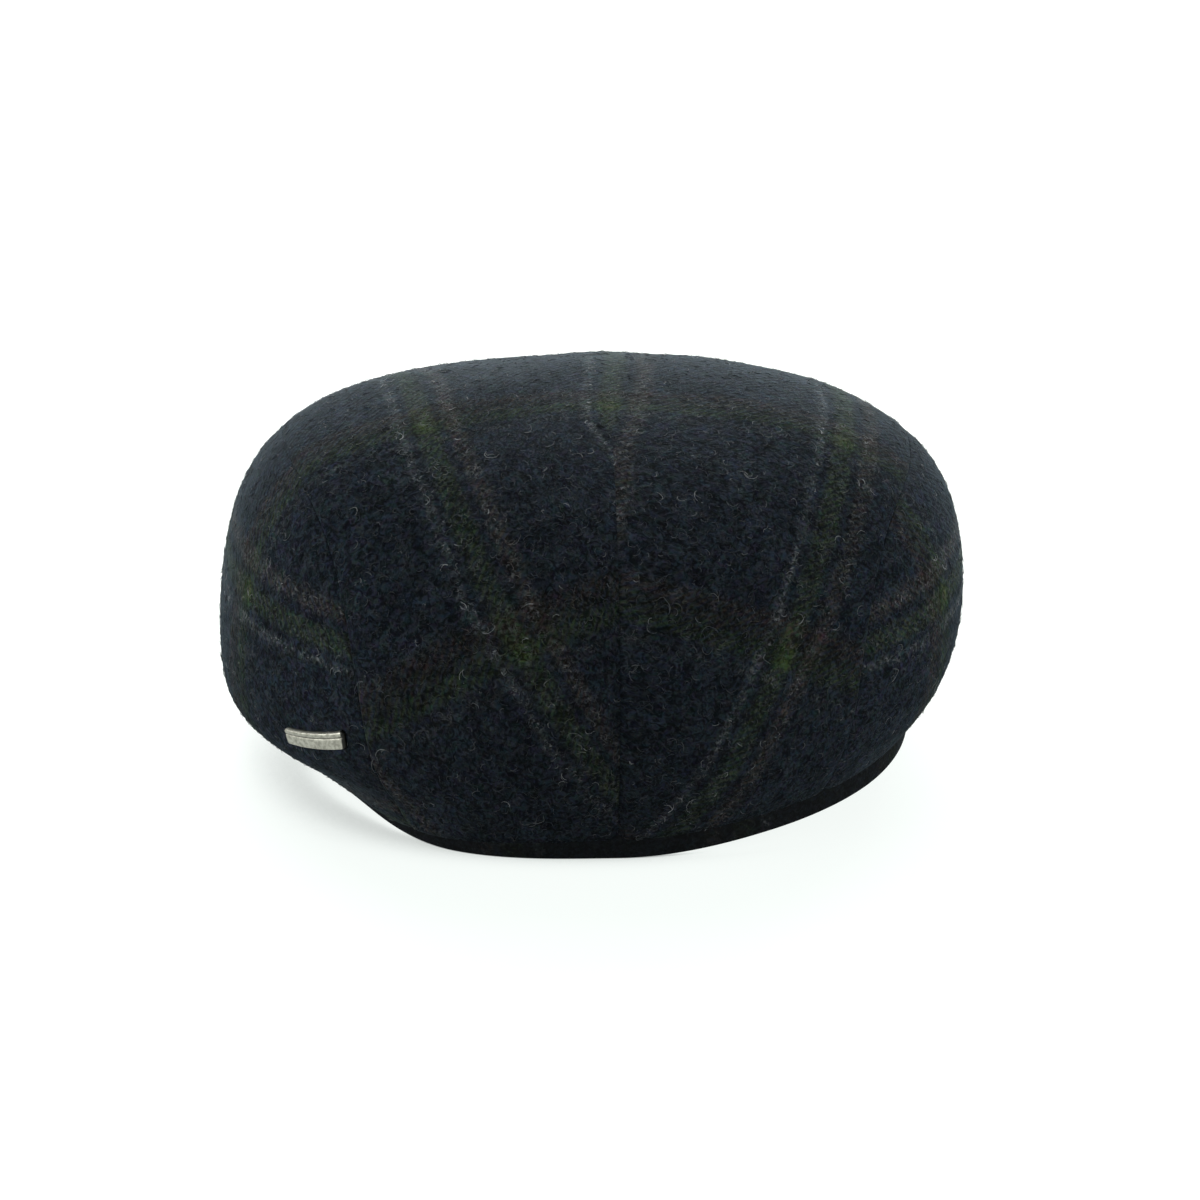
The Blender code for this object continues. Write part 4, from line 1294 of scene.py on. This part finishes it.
# %% The nodes of a tree that grows fibres
ANY_WAY_UP = -2.0
FIBRE_INPUTS = (
    ("Density", "NodeSocketFloat", 1000.0),      # fibres in a square metre
    ("Seed", "NodeSocketInt", 1),
    ("Length", "NodeSocketFloat", 0.004),
    ("Length Spread", "NodeSocketFloat", 0.4),
    ("Sweep", "NodeSocketFloat", 1.0),           # radians that a fibre turns along its length
    ("Radius", "NodeSocketFloat", 0.00006),
    ("Lift", "NodeSocketFloat", 0.3),            # radians off the cloth
    ("Curl", "NodeSocketFloat", 0.0010),         # how far its tip may stray
    ("Curl Size", "NodeSocketFloat", 0.0025),    # size of the waves that it strays in
    ("Points", "NodeSocketInt", 8),
    ("Least Up", "NodeSocketFloat", ANY_WAY_UP),  # least height of the cloth's normal where fibres grow
    ("Material", "NodeSocketMaterial", None))
fibre_tree, fibre_in, fibre_out = start_tree("loose fibres", FIBRE_INPUTS)
scatter = add_node(fibre_tree, "GeometryNodeDistributePointsOnFaces", distribute_method="RANDOM")
keep_random = add_node(fibre_tree, "GeometryNodeCaptureAttribute")
keep_random.capture_items.new("FLOAT", "Shade")
keep_random.capture_items.new("VECTOR", "Root")
shade, turn_value, size_value, lift_value = (
    add_node(fibre_tree, "FunctionNodeRandomValue", data_type="FLOAT") for _ in range(4))
line = add_node(fibre_tree, "GeometryNodeCurvePrimitiveLine")
resample = add_node(fibre_tree, "GeometryNodeResampleCurve")
keep_along = add_node(fibre_tree, "GeometryNodeCaptureAttribute")
keep_along.capture_items.new("FLOAT", "Along")
factor = add_node(fibre_tree, "GeometryNodeSplineParameter")
turn = add_node(fibre_tree, "ShaderNodeCombineXYZ")
euler = add_node(fibre_tree, "FunctionNodeEulerToRotation")
rotate = add_node(fibre_tree, "FunctionNodeRotateRotation", rotation_space="LOCAL")
instance = add_node(fibre_tree, "GeometryNodeInstanceOnPoints")
realize = add_node(fibre_tree, "GeometryNodeRealizeInstances")
position = add_node(fibre_tree, "GeometryNodeInputPosition")
field = add_node(fibre_tree, "ShaderNodeTexNoise", Detail=1.0)
centred = add_node(fibre_tree, "ShaderNodeVectorMath", operation="SUBTRACT")
arc_point = add_node(fibre_tree, "ShaderNodeCombineXYZ")
arch = add_node(fibre_tree, "GeometryNodeSetPosition")
bend = add_node(fibre_tree, "ShaderNodeVectorMath", operation="SCALE")
move = add_node(fibre_tree, "GeometryNodeSetPosition")
taper = add_node(fibre_tree, "GeometryNodeSetCurveRadius")
ring_curve = add_node(fibre_tree, "GeometryNodeCurvePrimitiveCircle", Resolution=3, Radius=1.0)
tube = add_node(fibre_tree, "GeometryNodeCurveToMesh", Fill_Caps=True)
on_cloth = add_node(fibre_tree, "GeometryNodeInputNamedAttribute", data_type="FLOAT_VECTOR", Name="cloth")
named = add_node(fibre_tree, "GeometryNodeStoreNamedAttribute", data_type="FLOAT", domain="POINT",
                 Name="shade")
rooted = add_node(fibre_tree, "GeometryNodeStoreNamedAttribute", data_type="FLOAT_VECTOR", domain="POINT",
                  Name="root_place")
smooth = add_node(fibre_tree, "GeometryNodeSetShadeSmooth")
paint = add_node(fibre_tree, "GeometryNodeSetMaterial")
end_point = add_node(fibre_tree, "ShaderNodeCombineXYZ")
facing = add_node(fibre_tree, "ShaderNodeSeparateXYZ")
normal = add_node(fibre_tree, "GeometryNodeInputNormal")
print("the fibres' tree starts with", len(fibre_tree.nodes), "nodes")

# %% A fibre's arc, curl and taper
CURL_GAIN = 4.0                # noise seldom strays further than a quarter from its middle
TIP_CHANGE = -0.75             # a fibre's radius changes by this share up to its tip

feed(fibre_tree, centred, (field.outputs["Color"], (0.5, 0.5, 0.5)))
swept = number(fibre_tree, "MULTIPLY", fibre_in.outputs["Sweep"], keep_along.outputs["Along"])
arc_radius = number(fibre_tree, "DIVIDE", fibre_in.outputs["Length"], fibre_in.outputs["Sweep"])
arc_side = number(fibre_tree, "SUBTRACT", 1.0, number(fibre_tree, "COSINE", swept))
join(fibre_tree,
     (number(fibre_tree, "MULTIPLY", arc_radius, number(fibre_tree, "SINE", swept)), arc_point.inputs["X"]),
     (number(fibre_tree, "MULTIPLY", arc_radius, arc_side), arc_point.inputs["Y"]))
full_curl = number(fibre_tree, "MULTIPLY", fibre_in.outputs["Curl"], CURL_GAIN)
strength = number(fibre_tree, "MULTIPLY", full_curl, keep_along.outputs["Along"])
narrowed = number(fibre_tree, "MULTIPLY_ADD", keep_along.outputs["Along"], TIP_CHANGE, 1.0)
radius = number(fibre_tree, "MULTIPLY", fibre_in.outputs["Radius"], narrowed)
print("the fibres' tree so far has", len(fibre_tree.nodes), "nodes")

# %% Chance: a fibre's shade, its turn on the cloth, its size and its lift
SEED_STEP = 17.0               # keeps the four random numbers apart

shortest = number(fibre_tree, "SUBTRACT", 1.0, fibre_in.outputs["Length Spread"])
longest = number(fibre_tree, "ADD", 1.0, fibre_in.outputs["Length Spread"])
highest = number(fibre_tree, "MULTIPLY", fibre_in.outputs["Lift"], -1.0)  # a turn below zero lifts it
for step, (chance, low, high) in enumerate((
        (shade, 0.0, 1.0), (turn_value, 0.0, 2 * math.pi),
        (size_value, shortest, longest), (lift_value, 0.0, highest))):
    seed = number(fibre_tree, "ADD", fibre_in.outputs["Seed"], SEED_STEP * step)
    feed(fibre_tree, chance, (low, high, None, seed))
print("the fibres' tree has", len(fibre_tree.nodes), "nodes")

# %% Link the fibres' nodes
join(fibre_tree,
     (fibre_in.outputs["Geometry"], scatter.inputs["Mesh"]),
     (fibre_in.outputs["Density"], next(s for s in scatter.inputs if s.name == "Density" and s.enabled)),
     (fibre_in.outputs["Seed"], scatter.inputs["Seed"]),
     (normal.outputs["Normal"], facing.inputs["Vector"]),
     (number(fibre_tree, "GREATER_THAN", facing.outputs["Z"], fibre_in.outputs["Least Up"]),
      scatter.inputs["Selection"]),
     (scatter.outputs["Points"], keep_random.inputs["Geometry"]),
     (enabled_output(shade), keep_random.inputs["Shade"]),
     (on_cloth.outputs["Attribute"], keep_random.inputs["Root"]),
     (fibre_in.outputs["Length"], end_point.inputs["X"]),
     (end_point.outputs["Vector"], line.inputs["End"]),
     (line.outputs["Curve"], resample.inputs["Curve"]),
     (fibre_in.outputs["Points"], resample.inputs["Count"]),
     (resample.outputs["Curve"], keep_along.inputs["Geometry"]),
     (factor.outputs["Factor"], keep_along.inputs["Along"]),
     (keep_along.outputs["Geometry"], arch.inputs["Geometry"]),
     (arc_point.outputs["Vector"], arch.inputs["Position"]),
     (enabled_output(lift_value), turn.inputs["Y"]),
     (enabled_output(turn_value), turn.inputs["Z"]),
     (turn.outputs["Vector"], euler.inputs["Euler"]),
     (scatter.outputs["Rotation"], rotate.inputs["Rotation"]),
     (euler.outputs["Rotation"], rotate.inputs["Rotate By"]),
     (keep_random.outputs["Geometry"], instance.inputs["Points"]),
     (arch.outputs["Geometry"], instance.inputs["Instance"]),
     (rotate.outputs["Rotation"], instance.inputs["Rotation"]),
     (enabled_output(size_value), instance.inputs["Scale"]),
     (instance.outputs["Instances"], realize.inputs["Geometry"]),
     (position.outputs["Position"], field.inputs["Vector"]),
     (number(fibre_tree, "DIVIDE", 1.0, fibre_in.outputs["Curl Size"]), field.inputs["Scale"]),
     (centred.outputs["Vector"], bend.inputs["Vector"]),
     (strength, bend.inputs["Scale"]),
     (realize.outputs["Geometry"], move.inputs["Geometry"]),
     (bend.outputs["Vector"], move.inputs["Offset"]),
     (move.outputs["Geometry"], taper.inputs["Curve"]),
     (radius, taper.inputs["Radius"]),
     (taper.outputs["Curve"], tube.inputs["Curve"]),
     (ring_curve.outputs["Curve"], tube.inputs["Profile Curve"]),
     (radius, tube.inputs["Scale"]),
     (tube.outputs["Mesh"], named.inputs["Geometry"]),
     (keep_random.outputs["Shade"], named.inputs["Value"]),
     (named.outputs["Geometry"], rooted.inputs["Geometry"]),
     (keep_random.outputs["Root"], rooted.inputs["Value"]),
     (rooted.outputs["Geometry"], smooth.inputs["Geometry"]),
     (smooth.outputs["Geometry"], paint.inputs["Geometry"]),
     (fibre_in.outputs["Material"], paint.inputs["Material"]),
     (paint.outputs["Geometry"], fibre_out.inputs["Geometry"]))

# %% A loose fibre's colour
PALE_FIBRE = (0.310, 0.335, 0.345, 1)
OF_THE_WEFT = 0.4              # this share of the fibres is pulled from the weft
LIGHTER = (0.0, 1.0, 0.5, 2.2)           # by chance, from and to this brightness
TUFT_STEPS = (0.40, 0.64, 0.15, 2.0)     # from and to this much noise, pale fibres are rare or common
PALE_POWER = 3.0               # most fibres are hardly pale and a few are very pale

loose, loose_in, loose_out = start_group(
    "loose fibre",
    (("Place", "NodeSocketVector", None),
     ("Shade", "NodeSocketFloat", 0.5),
     ("Least Pale", "NodeSocketFloat", 0.0),
     ("Warp Repeat", "NodeSocketFloat", WARP_REPEAT),
     ("Weft Repeat", "NodeSocketFloat", WEFT_REPEAT)),
    (("Color", "NodeSocketColor"),))


def new_chance(factor):
    """Another even random number from a fibre's own."""
    return number(loose, "FRACT", number(loose, "MULTIPLY", loose_in.outputs["Shade"], factor))


root = loose.nodes.new("ShaderNodeSeparateXYZ")
loose.links.new(loose_in.outputs["Place"], root.inputs["Vector"])
own_warp = use_group(loose, sett, Place=root.outputs["X"], Repeat=loose_in.outputs["Warp Repeat"])
own_weft = use_group(loose, sett, Place=root.outputs["Y"], Repeat=loose_in.outputs["Weft Repeat"], Fill=1.0)
is_warp = number(loose, "GREATER_THAN", new_chance(7.0), OF_THE_WEFT)
yarn = mix_colour(loose, is_warp, own_weft.outputs["Color"], own_warp.outputs["Color"])
yarn = brighter_crossings(loose, yarn, own_warp, own_weft)
yarn = multiplied(loose, yarn, ramp_between(loose, new_chance(13.0), *LIGHTER))
tufts = grain(loose, loose_in.outputs["Place"], CLOUD_SIZE, detail=2)
pale_level = number(loose, "ADD", loose_in.outputs["Least Pale"], own_warp.outputs["Pale"])
pale_here = number(loose, "MULTIPLY", ramp_between(loose, tufts, *TUFT_STEPS), pale_level)
pale_chance = number(loose, "POWER", new_chance(29.0), PALE_POWER)
paleness = number(loose, "MULTIPLY", pale_chance, pale_here, clamp=True)
loose.links.new(mix_colour(loose, paleness, yarn, PALE_FIBRE), loose_out.inputs["Color"])
print("loose fibre has", len(loose.nodes), "nodes")


def fibre_material(name, panel, least_pale):
    """Fibres in the colour of the yarn that they stand on, and the pale ones among them."""
    material, tree, shader = new_material(f"{name}_{panel}")
    own = add_node(tree, "ShaderNodeAttribute", attribute_name="shade")
    root_place = add_node(tree, "ShaderNodeAttribute", attribute_name="root_place")
    turn, shift, _ = LAID[panel]
    fibre = use_group(tree, loose, Place=lay_on_stripes(tree, root_place.outputs["Vector"], turn, shift),
                      Shade=own.outputs["Fac"], Least_Pale=least_pale)
    # the fibres get the same painted shade of the seams and hem
    tree.links.new(with_painted_shade(tree, fibre.outputs["Color"]), shader.inputs["Base Color"])
    set_inputs(shader, Roughness=0.8, Specular_IOR_Level=0.1, Sheen_Weight=0.1)
    return material


# %% Grow the fibres on the panels
PEAK_LEAST_UP_FACE = 0.2       # the peak grows fibres only where it faces at least this far up
FIRST_SEED = 3
FIBRES = (                     # name, least pale share, fibres in a square metre, and the tree's other inputs
    ("yarn", 0.0, 90000.0, dict(length=0.0021, length_spread=0.5, sweep=1.4, radius=0.000130, lift=0.07,
                                curl=0.0005, curl_size=0.0016, points=5)),
    ("curls", 0.35, 50000.0, dict(length=0.0032, length_spread=0.6, sweep=3.1, radius=0.000090, lift=0.10,
                                  curl=0.0008, curl_size=0.0024, points=8)),
    ("strays", 1.0, 2900.0, dict(length=0.0056, length_spread=0.5, sweep=2.8, radius=0.000075, lift=0.12,
                                 curl=0.0010, curl_size=0.0032, points=13)))


def grow_fibres(cloth, panel, seed):
    """Wool in its yarns' colours, small curls and a few long strays, as a piece of each."""
    grown = []
    least_up = PEAK_LEAST_UP_FACE if cloth is peak_cloth else ANY_WAY_UP
    for kind, least_pale, density, recipe in FIBRES:
        piece = bpy.data.objects.new(f"{kind}_{cloth.name}", cloth.data.copy())
        bpy.context.scene.collection.objects.link(piece)
        grow(piece, fibre_tree, density=density, seed=seed, least_up=least_up,
             material=fibre_material(kind, panel, least_pale), **recipe)
        grown.append(piece)
    return grown


furry = zip((top_cloth, left_cloth, right_cloth, peak_cloth), LAID)
fibres = {cloth.name: grow_fibres(cloth, panel, seed)
          for seed, (cloth, panel) in enumerate(furry, start=FIRST_SEED)}
print("fibres stand on", ", ".join(fibres))

# %% Give the cloth its thickness
CLOTH_THICKNESS = 0.0019

for cloth in (top_cloth, left_cloth, right_cloth):
    thicken(cloth, CLOTH_THICKNESS)

# %% [markdown]
# ## The stage
# The cap stands on a white sweep in a small photo tent, lit from the far side and a little from above.
# The tent's walls shine softly too, so its shadows are faint. The sweep's own glow is a plain colour
# that grows darker close to the cap, where the cap hides the tent from it.

# %% The sweep below the cap
FLOOR_SIZE = 60.0
PAPER = (0.18, 0.19, 0.185, 1)
PAPER_GLOW = (0.955, 1.0, 0.975, 1)
PAPER_GLOW_STRENGTH = 0.90
SHADOW_REACH = 0.07            # the cap dims the paper's glow within this distance
OPEN_SKY = (0.10, 0.50, 0.45, 1.0)       # from and to this much open sky, from and to this much glow

bpy.ops.mesh.primitive_plane_add(size=FLOOR_SIZE, location=(0, 0, 0))
floor = bpy.context.object
floor.name = "floor"
paper, paper_tree, paper_shader = new_material("paper")
set_inputs(paper_shader, Base_Color=PAPER, Roughness=0.9, Specular_IOR_Level=0.0)
set_inputs(paper_shader, Emission_Strength=PAPER_GLOW_STRENGTH)
open_sky = add_node(paper_tree, "ShaderNodeAmbientOcclusion", Distance=SHADOW_REACH)
glow = multiplied(paper_tree, PAPER_GLOW, ramp_between(paper_tree, open_sky.outputs["AO"], *OPEN_SKY))
paper_tree.links.new(glow, paper_shader.inputs["Emission Color"])
floor.data.materials.append(paper)
floor.visible_diffuse = False  # the sweep's own glow would light the cap's underside
print("the sweep's material has", len(paper_tree.nodes), "nodes")

# %% The tent's glow
TENT_GLOW = (0.238, 0.250, 0.243, 1)
TENT_GLOW_BELOW = (0.135, 0.141, 0.138, 1)
TENT_TURN = 0.25               # the two glows blend between this far below and above the horizon

world = bpy.data.worlds.new("tent")
world.use_nodes = True
tent_tree = world.node_tree
direction = tent_tree.nodes.new("ShaderNodeTexCoord")
height_above = tent_tree.nodes.new("ShaderNodeSeparateXYZ")
tent_tree.links.new(direction.outputs["Generated"], height_above.inputs["Vector"])
upward = ramp_between(tent_tree, height_above.outputs["Z"], -TENT_TURN, TENT_TURN)
tent_glow = mix_colour(tent_tree, upward, TENT_GLOW_BELOW, TENT_GLOW)
tent_tree.links.new(tent_glow, tent_tree.nodes["Background"].inputs["Color"])
bpy.context.scene.world = world
print("the tent's glow has", len(tent_tree.nodes), "nodes")

# %% Lights
LIGHTS = (                     # name, place, what it aims at, width and height in metres, watts
    ("backdrop", (0.0, -1.70, 0.90), (0, 0, 0.08), (2.4, 1.6), 102.0),
    ("overhead", (0.0, -0.90, 1.20), (0, 0, 0.05), (1.2, 0.9), 12.0),
    ("fill", (-1.15, 0.38, 0.20), (0, 0, 0.05), (1.0, 0.8), 13.5),
    ("fill", (1.15, 0.38, 0.20), (0, 0, 0.05), (1.0, 0.8), 13.5))
for name, place_at, aim, size, power in LIGHTS:
    data = bpy.data.lights.new(name, "AREA")
    data.shape = "RECTANGLE"
    data.size, data.size_y = size
    data.energy = power
    softbox = bpy.data.objects.new(name, data)
    softbox.location = place_at
    softbox.rotation_euler = (Vector(aim) - Vector(place_at)).to_track_quat("-Z", "Y").to_euler()
    bpy.context.scene.collection.objects.link(softbox)
bpy.context.scene.view_settings.view_transform = "Standard"
bpy.context.scene.view_settings.look = "None"
print(len(LIGHTS), "lights of", sum(light[-1] for light in LIGHTS), "watts in all")

# %% [markdown]
# ## Hand the pieces over
# Every piece rides the cap's only body and takes the place of its plain solid.

# %% Bodies, slots and sheets
PIECES = (
    (top_cloth, "crown_top", "wool_top"),
    (left_cloth, "side_panel_left", "wool_side_left"),
    (right_cloth, "side_panel_right", "wool_side_right"),
    (rim_cloth, "rim_band", "wool_rim"),
    (peak_cloth, "peak", "wool_peak"),
    (plate, "name_plate", "pewter"))
for piece, node, slot in PIECES:
    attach(piece, "root")
    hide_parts(node)
    for fibre in fibres.get(piece.name, ()):
        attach(fibre, "root")
for cloth in (top_cloth, left_cloth, right_cloth):
    flat, area = flat_cuts[cloth.name]
